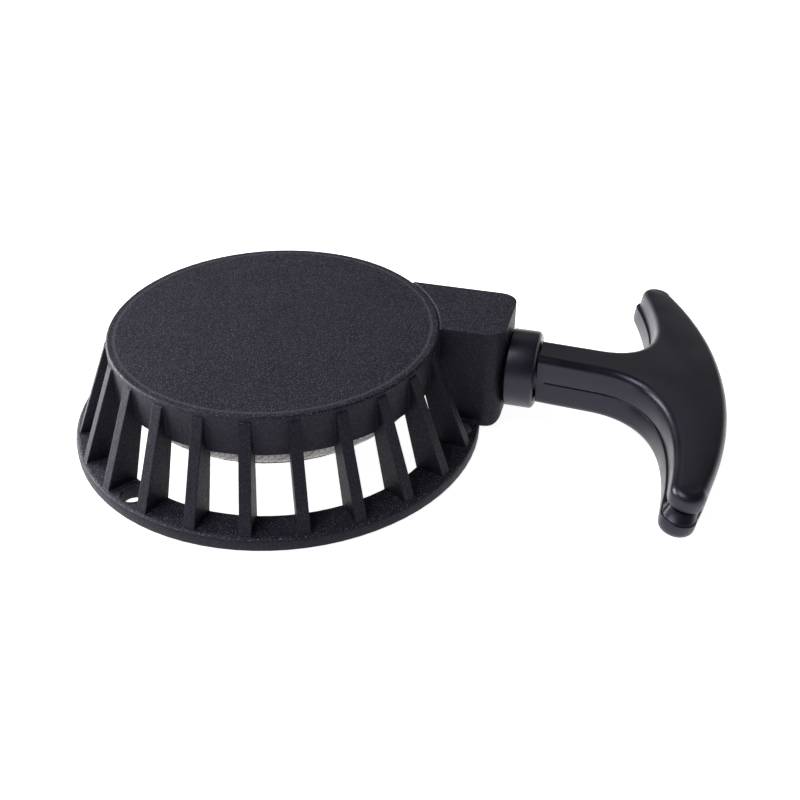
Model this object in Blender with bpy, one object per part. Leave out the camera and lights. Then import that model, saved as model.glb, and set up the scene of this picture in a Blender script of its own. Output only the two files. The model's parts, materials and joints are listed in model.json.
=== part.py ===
"""Recoil starter: vaned housing, rope reel, spiral spring, pawls and a T-grip.

Units in this file are millimetres until a mesh is stored, which is in metres.
The reel turns about the Z axis. The base flange rests on z = 0 and the rope
is pulled towards +X.
"""

import math

import bmesh
import bpy
from mathutils import Matrix, Vector

MM = 0.001

# ---- overall sizes -------------------------------------------------------
HOUSING_HEIGHT = 35.0
DRUM_RADIUS = 50.0
FLANGE_RADIUS = 63.5
FLANGE_THICKNESS = 4.0
WALL = 2.8
GAP = 0.3
ROUND = 80

# ---- housing -------------------------------------------------------------
SKIRT_DEPTH = 12.6
FLANGE_INNER_RADIUS = DRUM_RADIUS + 2.5
VANE_COUNT = 24
VANE_START_DEG = -3.3
VANE_THICKNESS = 3.4
MOUNT_HOLE_COUNT = 3
MOUNT_HOLE_RADIUS = 3.5
MOUNT_HOLE_START_GAP = 0.5
MOUNT_CIRCLE_RADIUS = (FLANGE_RADIUS + FLANGE_INNER_RADIUS) / 2
POST_RADIUS = 7.0
POST_END_Z = 5.6

# ---- rope outlet block ---------------------------------------------------
OUTLET_Y = 22.5
OUTLET_Z = HOUSING_HEIGHT / 2
BLOCK_HALF_WIDTH = 13.5
BLOCK_CENTRE_Y = OUTLET_Y + 1.0
BLOCK_END_X = DRUM_RADIUS + 18.5
BLOCK_CORNER = 5.5
BLOCK_BASE_Z = 2.0

# ---- rope ----------------------------------------------------------------
ROPE_RADIUS = 1.8
ROPE_TURNS = 4
ROPE_SIDES = 8
REEL_KNOT_RADIUS = 3.0

# ---- reel ----------------------------------------------------------------
REEL_RADIUS = DRUM_RADIUS - WALL - 1.9
GROOVE_Z = OUTLET_Z - 0.1
GROOVE_HALF = ROPE_RADIUS + GAP
REEL_FLANGE = 1.8
ROPE_OUTER_RADIUS = REEL_RADIUS - 2.1
ROPE_PITCH = 2 * ROPE_RADIUS + 0.2
GROOVE_RADIUS = ROPE_OUTER_RADIUS - (ROPE_TURNS - 1) * ROPE_PITCH - ROPE_RADIUS - GAP
DECK_Z = GROOVE_Z - GROOVE_HALF - REEL_FLANGE
REEL_TOP_Z = GROOVE_Z + GROOVE_HALF + REEL_FLANGE
HUB_WALL = 2.5
BUSHING_WALL = 1.5
RUNNING_FIT = 0.08

# ---- pawls and friction plate ---------------------------------------------
PAWL_PIVOT_RADIUS = 19.0
PAWL_LENGTH = 13.0
PAWL_THICKNESS = 3.0
PAWL_PIN_RADIUS = 2.4
PAWL_STUD_RADIUS = 1.2
PAWL_STUD_REACH = 7.0
PAWL_SWING_DEG = 35.0
PLATE_SWING_DEG = 17.5
PLATE_THICKNESS = 1.0
SPRING_ROOM = 1.8
PAWL_BASE_DEG = 90.0

# ---- mainspring ------------------------------------------------------------
SPRING_STRIP = 0.5
SPRING_HEIGHT = 5.2
SPRING_CASE_RADIUS = 35.0
SPRING_CASE_WALL = 2.0
SPRING_COILS = 7
KEEPER_THICKNESS = 0.8
KEEPER_SCREW_CIRCLE = SPRING_CASE_RADIUS + SPRING_CASE_WALL + 3.2
KEEPER_SCREW_COUNT = 3

# ---- handle ----------------------------------------------------------------
LOWER_HALF_LENGTH = 62.0
UPPER_HALF_LENGTH = 59.6
GRIP_THICKNESS = 17.0
GRIP_TIP_THICKNESS = 13.0
GRIP_BACK = 57.1
GRIP_BACK_RADIUS = 145.0
NECK_HALF_WIDTH = 6.4
NECK_START = -1.5
NECK_END = 19.3
TIP_RADIUS = 5.0
GRIP_EDGE = 2.6
SPIGOT_RADIUS = 6.2
COLLAR_RADIUS = 12.1
COLLAR_LENGTH = 9.2
COLLAR_FLOOR = 1.6
COLLAR_BORE = 9.2
SEAT_FROM_BLOCK = 8.5
HANDLE_YAW_DEG = 8.4
HANDLE_DROOP_DEG = 7.6
SHELL_WALL = 2.4
SLOT_HALF = 1.5

COLLAR_START_X = BLOCK_END_X + GAP
COLLAR_END_X = COLLAR_START_X + COLLAR_LENGTH
SEAT = (BLOCK_END_X + SEAT_FROM_BLOCK, OUTLET_Y + 0.2, OUTLET_Z - 0.5)
TOP_INNER_Z = HOUSING_HEIGHT - WALL
SKIRT_END_Z = HOUSING_HEIGHT - SKIRT_DEPTH
SKIRT_INNER_RADIUS = DRUM_RADIUS - WALL
VANE_STEP = 360.0 / VANE_COUNT
SPRING_TOP_Z = TOP_INNER_Z - 0.6
SPRING_BOTTOM_Z = SPRING_TOP_Z - SPRING_HEIGHT
CASE_END_Z = SPRING_BOTTOM_Z - GAP
KEEPER_TOP_Z = CASE_END_Z
KEEPER_BOTTOM_Z = KEEPER_TOP_Z - KEEPER_THICKNESS
BUSHING_INNER = POST_RADIUS + RUNNING_FIT
BUSHING_OUTER = BUSHING_INNER + BUSHING_WALL
REEL_BORE = BUSHING_OUTER + RUNNING_FIT
HUB_RADIUS = REEL_BORE + HUB_WALL
PAWL_TOP_Z = DECK_Z - GAP
PAWL_BOTTOM_Z = PAWL_TOP_Z - PAWL_THICKNESS
PLATE_TOP_Z = PAWL_BOTTOM_Z - SPRING_ROOM
PLATE_BOTTOM_Z = PLATE_TOP_Z - PLATE_THICKNESS
HUB_END_Z = PLATE_TOP_Z + GAP
WASHER_TOP_Z = POST_END_Z - 0.1
WASHER_BOTTOM_Z = WASHER_TOP_Z - 1.0
SCREW_HEAD_TOP_Z = WASHER_BOTTOM_Z - 0.1
SCREW_HEAD_BOTTOM_Z = SCREW_HEAD_TOP_Z - 2.6

COLOURS = {
    "cast_black": ((0.016, 0.015, 0.02, 1.0), 0.55, 0.2),
    "satin_black": ((0.014, 0.014, 0.016, 1.0), 0.38, 0.0),
    "nylon_grey": ((0.045, 0.045, 0.05, 1.0), 0.5, 0.0),
    "rope_white": ((0.78, 0.77, 0.75, 1.0), 0.85, 0.0),
    "zinc_steel": ((0.62, 0.62, 0.6, 1.0), 0.32, 1.0),
    "spring_steel": ((0.32, 0.34, 0.38, 1.0), 0.3, 1.0),
    "bronze": ((0.55, 0.36, 0.16, 1.0), 0.4, 1.0),
}


def polar(radius, degrees):
    """Point at a radius and an angle on the XY plane."""
    angle = math.radians(degrees)
    return radius * math.cos(angle), radius * math.sin(angle)


def clear_scene():
    """Remove every object that the empty file starts with."""
    for item in list(bpy.data.objects):
        bpy.data.objects.remove(item)


def material(name):
    """Principled material from the colour table, made once."""
    found = bpy.data.materials.get(name)
    if found:
        return found
    colour, roughness, metallic = COLOURS[name]
    made = bpy.data.materials.new(name)
    made.use_nodes = True
    shader = made.node_tree.nodes["Principled BSDF"]
    shader.inputs["Base Color"].default_value = colour
    shader.inputs["Roughness"].default_value = roughness
    shader.inputs["Metallic"].default_value = metallic
    made.diffuse_color = colour
    return made


def mesh_object(name, vertices, faces):
    """Object from millimetre vertices, with outward normals."""
    mesh = bpy.data.meshes.new(name)
    scaled = [tuple(c * MM for c in v) for v in vertices]
    mesh.from_pydata(scaled, [], faces)
    work = bmesh.new()
    work.from_mesh(mesh)
    bmesh.ops.remove_doubles(work, verts=work.verts, dist=1e-7)
    bmesh.ops.recalc_face_normals(work, faces=work.faces)
    work.to_mesh(mesh)
    work.free()
    made = bpy.data.objects.new(name, mesh)
    bpy.context.scene.collection.objects.link(made)
    return made


def lathe(name, profile, segments=48):
    """Solid of revolution about Z from a closed (radius, z) profile."""
    vertices = []
    rings = []
    for radius, z in profile:
        if radius < 1e-6:
            rings.append([len(vertices)] * segments)
            vertices.append((0.0, 0.0, z))
            continue
        ring = []
        for i in range(segments):
            x, y = polar(radius, 360.0 * i / segments)
            ring.append(len(vertices))
            vertices.append((x, y, z))
        rings.append(ring)
    faces = []
    for j, ring in enumerate(rings):
        after = rings[(j + 1) % len(rings)]
        if ring[0] == ring[1] and after[0] == after[1]:
            continue
        for i in range(segments):
            k = (i + 1) % segments
            corners = [ring[i], ring[k], after[k], after[i]]
            face = []
            for c in corners:
                if c not in face:
                    face.append(c)
            faces.append(face)
    return mesh_object(name, vertices, faces)


def prism(name, outline, low, high):
    """Upright solid from a closed XY outline."""
    count = len(outline)
    vertices = [(x, y, low) for x, y in outline]
    vertices += [(x, y, high) for x, y in outline]
    faces = [list(range(count))[::-1], list(range(count, 2 * count))]
    for i in range(count):
        k = (i + 1) % count
        faces.append([i, k, count + k, count + i])
    return mesh_object(name, vertices, faces)


def box(name, low, high):
    """Box between two corners."""
    outline = [(low[0], low[1]), (high[0], low[1]), (high[0], high[1]), (low[0], high[1])]
    return prism(name, outline, low[2], high[2])


def cylinder(name, centre, radius, low, high, segments=32):
    """Upright cylinder."""
    outline = []
    for i in range(segments):
        x, y = polar(radius, 360.0 * i / segments)
        outline.append((centre[0] + x, centre[1] + y))
    return prism(name, outline, low, high)


def along_x(made, y, z):
    """Turn a solid built about Z so that its axis lies along +X at (y, z)."""
    turn = Matrix.Translation((0.0, y * MM, z * MM)) @ Matrix.Rotation(math.pi / 2, 4, "Y")
    made.data.transform(turn)
    return made


def tube(name, path, radius, sides=ROPE_SIDES):
    """Round bar along a path, with flat ends."""
    points = [Vector(p) for p in path]
    vertices = []
    normal = None
    for i, point in enumerate(points):
        before = points[max(i - 1, 0)]
        after = points[min(i + 1, len(points) - 1)]
        along = (after - before).normalized()
        if normal is None:
            side = Vector((0, 0, 1)) if abs(along.z) < 0.9 else Vector((1, 0, 0))
            normal = along.cross(side).normalized()
        normal = (normal - along * normal.dot(along)).normalized()
        other = along.cross(normal)
        for s in range(sides):
            angle = 2 * math.pi * s / sides
            offset = normal * math.cos(angle) + other * math.sin(angle)
            vertices.append(tuple(point + offset * radius))
    faces = [list(range(sides))[::-1]]
    last = (len(points) - 1) * sides
    faces.append([last + s for s in range(sides)])
    for i in range(len(points) - 1):
        for s in range(sides):
            t = (s + 1) % sides
            a = i * sides
            b = a + sides
            faces.append([a + s, a + t, b + t, b + s])
    return mesh_object(name, vertices, faces)


def strip(name, path, thickness, low, high):
    """Flat upright strip along a plan path, with square ends."""
    vertices = []
    for i, (x, y) in enumerate(path):
        ax, ay = path[max(i - 1, 0)]
        bx, by = path[min(i + 1, len(path) - 1)]
        along = Vector((bx - ax, by - ay)).normalized()
        nx, ny = -along.y * thickness / 2, along.x * thickness / 2
        vertices += [(x + nx, y + ny, low), (x - nx, y - ny, low)]
        vertices += [(x - nx, y - ny, high), (x + nx, y + ny, high)]
    faces = [[0, 1, 2, 3]]
    last = 4 * (len(path) - 1)
    faces.append([last + 3, last + 2, last + 1, last])
    for i in range(len(path) - 1):
        for s in range(4):
            t = (s + 1) % 4
            a = 4 * i
            faces.append([a + s, a + 4 + s, a + 4 + t, a + t])
    return mesh_object(name, vertices, faces)


def combine(target, tool, operation, solver="EXACT"):
    """Boolean the tool into the target and remove the tool."""
    step = target.modifiers.new(operation.lower(), "BOOLEAN")
    step.operation = operation
    step.solver = solver
    step.object = tool
    graph = bpy.context.evaluated_depsgraph_get()
    graph.update()
    shaped = bpy.data.meshes.new_from_object(target.evaluated_get(graph))
    target.modifiers.remove(step)
    old = target.data
    target.data = shaped
    bpy.data.meshes.remove(old)
    bpy.data.objects.remove(tool)
    return target


def add(target, tool):
    """Union."""
    return combine(target, tool, "UNION")


def cut(target, tool):
    """Difference."""
    return combine(target, tool, "DIFFERENCE")


def keep(target, tool, solver="EXACT"):
    """Intersection."""
    return combine(target, tool, "INTERSECT", solver)


def soften(made, width, angle=40.0, segments=2):
    """Round the sharp edges of a simple solid."""
    step = made.modifiers.new("round", "BEVEL")
    step.width = width * MM
    step.segments = segments
    step.limit_method = "ANGLE"
    step.angle_limit = math.radians(angle)
    graph = bpy.context.evaluated_depsgraph_get()
    graph.update()
    shaped = bpy.data.meshes.new_from_object(made.evaluated_get(graph))
    made.modifiers.remove(step)
    made.data = shaped
    return made


def finish(made, name, material_name, angle=32.0, origin=(0.0, 0.0, 0.0)):
    """Name the solid, set its material, shading and origin."""
    made.name = name
    made.data.name = name
    made.data.materials.clear()
    made.data.materials.append(material(material_name))
    work = bmesh.new()
    work.from_mesh(made.data)
    bmesh.ops.remove_doubles(work, verts=work.verts, dist=2e-7)
    bmesh.ops.dissolve_degenerate(work, edges=work.edges, dist=2e-7)
    work.to_mesh(made.data)
    work.free()
    for face in made.data.polygons:
        face.use_smooth = True
    made.data.set_sharp_from_angle(angle=math.radians(angle))
    place = Vector(origin) * MM
    made.data.transform(Matrix.Translation(-place))
    made.location = place
    return made


def rounded_rectangle(x0, x1, y0, y1, radius, corners=(True, True, True, True), steps=8):
    """Closed outline, corners counted from low x, low y, anticlockwise."""
    points = []
    centres = [(x0, y0, 180), (x1, y0, 270), (x1, y1, 0), (x0, y1, 90)]
    for (x, y, start), rounded in zip(centres, corners):
        if not rounded:
            points.append((x, y))
            continue
        cx = x + radius if x == x0 else x - radius
        cy = y + radius if y == y0 else y - radius
        for i in range(steps + 1):
            dx, dy = polar(radius, start + 90.0 * i / steps)
            points.append((cx + dx, cy + dy))
    return points


# ---- housing ---------------------------------------------------------------
def bell():
    """Drum, skirt, spring case and centre post in one turned solid."""
    case_outer = SPRING_CASE_RADIUS + SPRING_CASE_WALL
    screw_bore = 2.1
    profile = [
        (0.0, HOUSING_HEIGHT),
        (DRUM_RADIUS, HOUSING_HEIGHT),
        (DRUM_RADIUS, SKIRT_END_Z + 0.4),
        (DRUM_RADIUS - 0.4, SKIRT_END_Z),
        (SKIRT_INNER_RADIUS, SKIRT_END_Z),
        (SKIRT_INNER_RADIUS, TOP_INNER_Z),
        (case_outer, TOP_INNER_Z),
        (case_outer, CASE_END_Z),
        (SPRING_CASE_RADIUS, CASE_END_Z),
        (SPRING_CASE_RADIUS, TOP_INNER_Z),
        (POST_RADIUS, TOP_INNER_Z),
        (POST_RADIUS, POST_END_Z),
        (screw_bore, POST_END_Z),
        (screw_bore, TOP_INNER_Z - 6.0),
        (0.0, TOP_INNER_Z - 6.0),
    ]
    return lathe("bell", profile, ROUND)


def flange_ring():
    """Flat base ring with eased edges."""
    inner = FLANGE_INNER_RADIUS
    outer = FLANGE_RADIUS
    top = FLANGE_THICKNESS
    profile = [
        (inner, 0.0),
        (outer - 0.4, 0.0),
        (outer, 0.4),
        (outer, top - 0.9),
        (outer - 0.3, top - 0.3),
        (outer - 0.9, top),
        (inner + 0.6, top),
        (inner, top - 0.6),
    ]
    return lathe("flange", profile, ROUND)


def vane(angle):
    """Radial rib from the drum's top edge to the flange."""
    foot = FLANGE_RADIUS - 1.4
    inside = SKIRT_INNER_RADIUS + 1.2
    half = VANE_THICKNESS / 2
    outline = [
        (inside, HOUSING_HEIGHT - 1.6),
        (DRUM_RADIUS + 0.5, HOUSING_HEIGHT - 1.6),
        (foot, FLANGE_THICKNESS),
        (foot, FLANGE_THICKNESS / 2),
        (FLANGE_INNER_RADIUS + 0.7, FLANGE_THICKNESS / 2),
        (FLANGE_INNER_RADIUS + 0.2, FLANGE_THICKNESS),
        (inside, SKIRT_END_Z - 0.8),
    ]
    rib = prism("vane", outline, -half, half)
    upright = Matrix(((1, 0, 0, 0), (0, 0, -1, 0), (0, 1, 0, 0), (0, 0, 0, 1)))
    rib.data.transform(Matrix.Rotation(math.radians(angle), 4, "Z") @ upright)
    return rib


def block_angles():
    """Angles that the rope block covers at the flange, with half a vane spare."""
    spare = math.degrees(VANE_THICKNESS / DRUM_RADIUS)
    low = math.degrees(math.asin((BLOCK_CENTRE_Y - BLOCK_HALF_WIDTH) / FLANGE_RADIUS))
    high = math.degrees(math.asin((BLOCK_CENTRE_Y + BLOCK_HALF_WIDTH) / DRUM_RADIUS))
    return low - spare, high + spare


def outlet_block():
    """Hollow rounded block that carries the rope outlet."""
    low = BLOCK_CENTRE_Y - BLOCK_HALF_WIDTH
    high = BLOCK_CENTRE_Y + BLOCK_HALF_WIDTH
    outline = rounded_rectangle(
        DRUM_RADIUS - 22.0, BLOCK_END_X, low, high, BLOCK_CORNER, (False, True, True, False)
    )
    solid = prism("block", outline, BLOCK_BASE_Z, HOUSING_HEIGHT)
    lean = rounded_rectangle(-60.0, BLOCK_END_X, BLOCK_BASE_Z, 80.0, 3.0, (False, True, False, False))
    side = prism("lean", lean, -80.0, 80.0)
    side.data.transform(Matrix.Rotation(math.pi / 2, 4, "X"))
    keep(solid, side)
    hollow = rounded_rectangle(
        DRUM_RADIUS - 30.0,
        BLOCK_END_X - 3.2,
        low + WALL,
        high - WALL,
        BLOCK_CORNER - WALL,
        (False, True, True, False),
    )
    cut(solid, prism("hollow", hollow, BLOCK_BASE_Z + WALL, TOP_INNER_Z))
    cut(solid, cylinder("reel room", (0, 0), SKIRT_INNER_RADIUS + 0.5, -5.0, TOP_INNER_Z, ROUND))
    cut(solid, cylinder("rope room", (0, 0), DRUM_RADIUS + 1.2, -5.0, SKIRT_END_Z - 0.5, ROUND))
    return solid


def build_housing():
    """One casting: bell, vanes, flange, rope block and screw bosses."""
    body = bell()
    add(body, outlet_block())
    add(body, flange_ring())
    low, high = block_angles()
    for i in range(VANE_COUNT):
        angle = (VANE_START_DEG + VANE_STEP * i) % 360.0
        if low < angle < high:
            continue
        add(body, vane(angle))
    for i in range(KEEPER_SCREW_COUNT):
        spot = polar(KEEPER_SCREW_CIRCLE, 30.0 + 360.0 * i / KEEPER_SCREW_COUNT)
        boss = cylinder("boss", spot, 3.4, CASE_END_Z, TOP_INNER_Z + 1.0, 14)
        add(body, boss)
    for i in range(KEEPER_SCREW_COUNT):
        spot = polar(KEEPER_SCREW_CIRCLE, 30.0 + 360.0 * i / KEEPER_SCREW_COUNT)
        cut(body, cylinder("bore", spot, 1.5, CASE_END_Z - 1.0, TOP_INNER_Z - 0.8, 14))
    first = VANE_START_DEG + VANE_STEP * MOUNT_HOLE_START_GAP
    for i in range(MOUNT_HOLE_COUNT):
        spot = polar(MOUNT_CIRCLE_RADIUS, first + 360.0 * i / MOUNT_HOLE_COUNT)
        cut(body, cylinder("mount hole", spot, MOUNT_HOLE_RADIUS, -1.0, FLANGE_THICKNESS + 1.0, 20))
    outlet = cylinder("outlet", (0, 0), 3.6, BLOCK_END_X - 8.0, BLOCK_END_X + 2.0, 20)
    cut(body, along_x(outlet, OUTLET_Y, OUTLET_Z))
    slot_x = SPRING_CASE_RADIUS + SPRING_CASE_WALL / 2
    slot = box("slot", (slot_x - 1.6, -1.2, SPRING_BOTTOM_Z - 2.0), (slot_x + 0.4, 1.2, SPRING_TOP_Z + 0.2))
    slot.data.transform(Matrix.Rotation(math.radians(-80.0), 4, "Z"))
    cut(body, slot)
    line = [
        (DRUM_RADIUS - 0.55, HOUSING_HEIGHT + 0.1),
        (DRUM_RADIUS + 0.65, HOUSING_HEIGHT + 0.1),
        (DRUM_RADIUS + 0.05, HOUSING_HEIGHT - 0.5),
    ]
    cut(body, lathe("edge line", line, ROUND))
    return finish(body, "starter_housing", "cast_black")


def build_eyelet():
    """Flared steel eyelet that clamps the collar to the rope outlet."""
    bore = ROPE_RADIUS + 0.4
    end = COLLAR_START_X + COLLAR_FLOOR
    profile = [
        (bore, BLOCK_END_X - 4.0),
        (bore + 0.9, BLOCK_END_X - 4.6),
        (3.3, BLOCK_END_X - 4.6),
        (3.3, end + GAP),
        (5.2, end + GAP),
        (5.2, end + 0.8),
        (4.4, end + 1.2),
        (bore + 0.8, end + 1.2),
        (bore, end + 0.5),
    ]
    made = along_x(lathe("eyelet", profile, 24), OUTLET_Y, OUTLET_Z)
    return finish(made, "rope_eyelet", "zinc_steel")


# ---- mainspring and its keeper ----------------------------------------------
def build_mainspring():
    """Flat spiral: packed against the case, open towards the hub."""
    inner = HUB_RADIUS + 0.25 + SPRING_STRIP / 2
    outer = SPRING_CASE_RADIUS - 0.35 - SPRING_STRIP / 2
    steps = 26 * SPRING_COILS
    end_angle = -80.0
    path = []
    for i in range(steps + 1):
        t = i / steps
        radius = inner + (outer - inner) * (1.0 - (1.0 - t) ** 1.6)
        if t < 1.0 / SPRING_COILS:
            radius = inner + (radius - inner) * (t * SPRING_COILS) ** 2
        angle = end_angle - 360.0 * SPRING_COILS * (1.0 - t)
        path.append(polar(radius, angle))
    hook = polar(SPRING_CASE_RADIUS + 0.9, end_angle + 0.9)
    path.append(hook)
    made = strip("spring", path, SPRING_STRIP, SPRING_BOTTOM_Z, SPRING_TOP_Z)
    return finish(made, "mainspring", "spring_steel")


def build_keeper():
    """Thin plate that holds the mainspring in its case."""
    profile = [
        (HUB_RADIUS + 0.8, KEEPER_BOTTOM_Z),
        (SPRING_CASE_RADIUS + SPRING_CASE_WALL, KEEPER_BOTTOM_Z),
        (SPRING_CASE_RADIUS + SPRING_CASE_WALL, KEEPER_TOP_Z - 0.05),
        (HUB_RADIUS + 0.8, KEEPER_TOP_Z - 0.05),
    ]
    plate = lathe("keeper", profile, 48)
    for i in range(KEEPER_SCREW_COUNT):
        spot = polar(KEEPER_SCREW_CIRCLE, 30.0 + 360.0 * i / KEEPER_SCREW_COUNT)
        ear = cylinder("ear", spot, 3.6, KEEPER_BOTTOM_Z, KEEPER_TOP_Z - 0.05, 16)
        add(plate, ear)
        cut(plate, cylinder("hole", spot, 1.7, KEEPER_BOTTOM_Z - 1, KEEPER_TOP_Z + 1, 12))
    return finish(plate, "spring_keeper_plate", "zinc_steel")


def build_keeper_screws():
    """Pan head screws under the keeper plate."""
    top = KEEPER_BOTTOM_Z - 0.05
    low = top - 1.1
    profile = [
        (0.0, low),
        (1.7, low),
        (2.5, low + 0.5),
        (2.6, top),
        (1.25, top),
        (1.25, TOP_INNER_Z - 1.6),
        (0.9, TOP_INNER_Z - 1.2),
        (0.0, TOP_INNER_Z - 1.2),
    ]
    for i in range(KEEPER_SCREW_COUNT):
        x, y = polar(KEEPER_SCREW_CIRCLE, 30.0 + 360.0 * i / KEEPER_SCREW_COUNT)
        screw = lathe("screw", profile, 14)
        cut(screw, box("slot", (-0.25, -3.0, low - 0.5), (0.25, 3.0, low + 0.5)))
        screw.data.transform(Matrix.Translation((x * MM, y * MM, 0.0)))
        finish(screw, f"keeper_screw_{i + 1}", "zinc_steel")


# ---- reel ---------------------------------------------------------------------
def build_reel():
    """Rope reel with hub, rope groove, pawl deck and pawl posts."""
    lower = REEL_RADIUS - 3.3
    groove_low = GROOVE_Z - GROOVE_HALF
    groove_high = GROOVE_Z + GROOVE_HALF
    profile = [
        (REEL_BORE, HUB_END_Z),
        (HUB_RADIUS, HUB_END_Z),
        (HUB_RADIUS, DECK_Z),
        (lower - 0.4, DECK_Z),
        (lower, DECK_Z + 0.4),
        (lower, groove_low - 0.5),
        (lower - 0.5, groove_low),
        (GROOVE_RADIUS, groove_low),
        (GROOVE_RADIUS, groove_high),
        (REEL_RADIUS - 0.5, groove_high),
        (REEL_RADIUS, groove_high + 0.5),
        (REEL_RADIUS, REEL_TOP_Z - 0.4),
        (REEL_RADIUS - 0.4, REEL_TOP_Z),
        (GROOVE_RADIUS - 2.4, REEL_TOP_Z),
        (GROOVE_RADIUS - 2.4, DECK_Z + 2.4),
        (HUB_RADIUS, DECK_Z + 2.4),
        (HUB_RADIUS, SPRING_TOP_Z),
        (REEL_BORE, SPRING_TOP_Z),
    ]
    reel = lathe("reel", profile, 48)
    for side in range(2):
        spot = polar(PAWL_PIVOT_RADIUS, PAWL_BASE_DEG + 180.0 * side)
        add(reel, cylinder("post", spot, PAWL_PIN_RADIUS, PLATE_TOP_Z + GAP, DECK_Z + 1.0, 20))
        stop = polar(PAWL_PIVOT_RADIUS - 3.4, PAWL_BASE_DEG + 180.0 * side + 22.0)
        add(reel, cylinder("stop", stop, 1.1, PLATE_TOP_Z + GAP, DECK_Z + 1.0, 10))
    for i in range(6):
        web = box(
            "web",
            (HUB_RADIUS - 0.6, -0.9, DECK_Z + 2.0),
            (GROOVE_RADIUS - 2.0, 0.9, REEL_TOP_Z - 0.6),
        )
        web.data.transform(Matrix.Rotation(math.radians(knot_angle() + 60.0 * i + 30.0), 4, "Z"))
        add(reel, web)
    angle = knot_angle()
    mid = GROOVE_RADIUS - 1.2
    x, y = polar(mid, angle)
    hole = cylinder("rope hole", (0, 0), ROPE_RADIUS + 0.3, -3.0, 3.0, 24)
    lay = Matrix.Rotation(math.radians(angle), 4, "Z") @ Matrix.Rotation(math.pi / 2, 4, "Y")
    hole.data.transform(Matrix.Translation((x * MM, y * MM, GROOVE_Z * MM)) @ lay)
    cut(reel, hole)
    spot = polar(GROOVE_RADIUS - 2.6 - REEL_KNOT_RADIUS - 0.35, angle)
    cut(reel, cylinder("knot pocket", spot, REEL_KNOT_RADIUS + 0.5, DECK_Z - 1.0, DECK_Z + 3.0, 20))
    return finish(reel, "rope_reel", "nylon_grey")


def build_bushing():
    """Plain bushing between the post and the reel."""
    profile = [
        (BUSHING_INNER, HUB_END_Z),
        (BUSHING_OUTER - 0.3, HUB_END_Z),
        (BUSHING_OUTER, HUB_END_Z + 0.3),
        (BUSHING_OUTER, SPRING_TOP_Z - 0.3),
        (BUSHING_OUTER - 0.3, SPRING_TOP_Z),
        (BUSHING_INNER, SPRING_TOP_Z),
    ]
    return finish(lathe("bushing", profile, 40), "reel_bushing", "bronze")


# ---- rope -----------------------------------------------------------------------
def tangent_angle():
    """Angle at which the rope leaves the reel for the eyelet."""
    reach = BLOCK_END_X - 4.0
    distance = math.hypot(reach, OUTLET_Y)
    lean = math.degrees(math.atan2(OUTLET_Y, reach))
    return lean + math.degrees(math.acos(ROPE_OUTER_RADIUS / distance))


def knot_angle():
    """Angle at which the inner end of the rope enters the reel."""
    return tangent_angle() + 360.0 * (ROPE_TURNS - 1) + 300.0


def winding_radius(turned):
    """Rope radius after an angle of turns: level turns with short steps in."""
    layer = int(turned // 360.0)
    within = turned - 360.0 * layer
    step = min(max((within - 300.0) / 60.0, 0.0), 1.0)
    smooth = step * step * (3.0 - 2.0 * step)
    return ROPE_OUTER_RADIUS - ROPE_PITCH * (layer + smooth)


def build_winding():
    """Rope wound on the reel, outer turn first."""
    start = tangent_angle()
    total = 360.0 * (ROPE_TURNS - 1) + 296.0
    steps = 24 * ROPE_TURNS
    path = []
    for i in range(steps + 1):
        turned = 1.0 + (total - 1.0) * i / steps
        x, y = polar(winding_radius(turned), start + turned)
        path.append((x, y, GROOVE_Z))
    x, y = polar(GROOVE_RADIUS + 0.4, start + total + 5.0)
    path.append((x, y, GROOVE_Z))
    x, y = polar(GROOVE_RADIUS - 1.6, start + total + 4.0)
    path.append((x, y, GROOVE_Z))
    x, y = polar(GROOVE_RADIUS - 2.6, start + total + 4.0)
    path.append((x, y, GROOVE_Z))
    return finish(tube("winding", path, ROPE_RADIUS), "rope_winding", "rope_white")


def knot(name, axis_turn, centre, size):
    """Overhand knot drawn as a closed, lumpy ball."""
    rings = 8
    sides = 12
    vertices = [(0.0, 0.0, -size)]
    for j in range(1, rings):
        lat = math.pi * j / rings - math.pi / 2
        for s in range(sides):
            lon = 2 * math.pi * s / sides
            swell = 1.0 + 0.1 * math.cos(3 * lon + 2.5 * lat) * math.cos(lat)
            flat = size * math.cos(lat) * swell
            vertices.append((flat * math.cos(lon), flat * math.sin(lon), size * math.sin(lat)))
    vertices.append((0.0, 0.0, size))
    faces = []
    for s in range(sides):
        t = (s + 1) % sides
        faces.append([0, 1 + t, 1 + s])
        last = 1 + (rings - 2) * sides
        faces.append([last + s, last + t, len(vertices) - 1])
        for j in range(rings - 2):
            a = 1 + j * sides
            faces.append([a + s, a + t, a + sides + t, a + sides + s])
    made = mesh_object(name, vertices, faces)
    made.data.transform(Matrix.Translation(Vector(centre) * MM) @ axis_turn)
    return made


def build_reel_knot():
    """Knot that stops the rope inside the reel rim."""
    angle = knot_angle()
    size = REEL_KNOT_RADIUS
    x, y = polar(GROOVE_RADIUS - 2.6 - size - 0.35, angle)
    turn = Matrix.Rotation(math.radians(angle), 4, "Z") @ Matrix.Rotation(math.pi / 2, 4, "Y")
    made = knot("knot", turn, (x, y, GROOVE_Z), size)
    return finish(made, "rope_knot_reel", "rope_white", 60.0)


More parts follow.
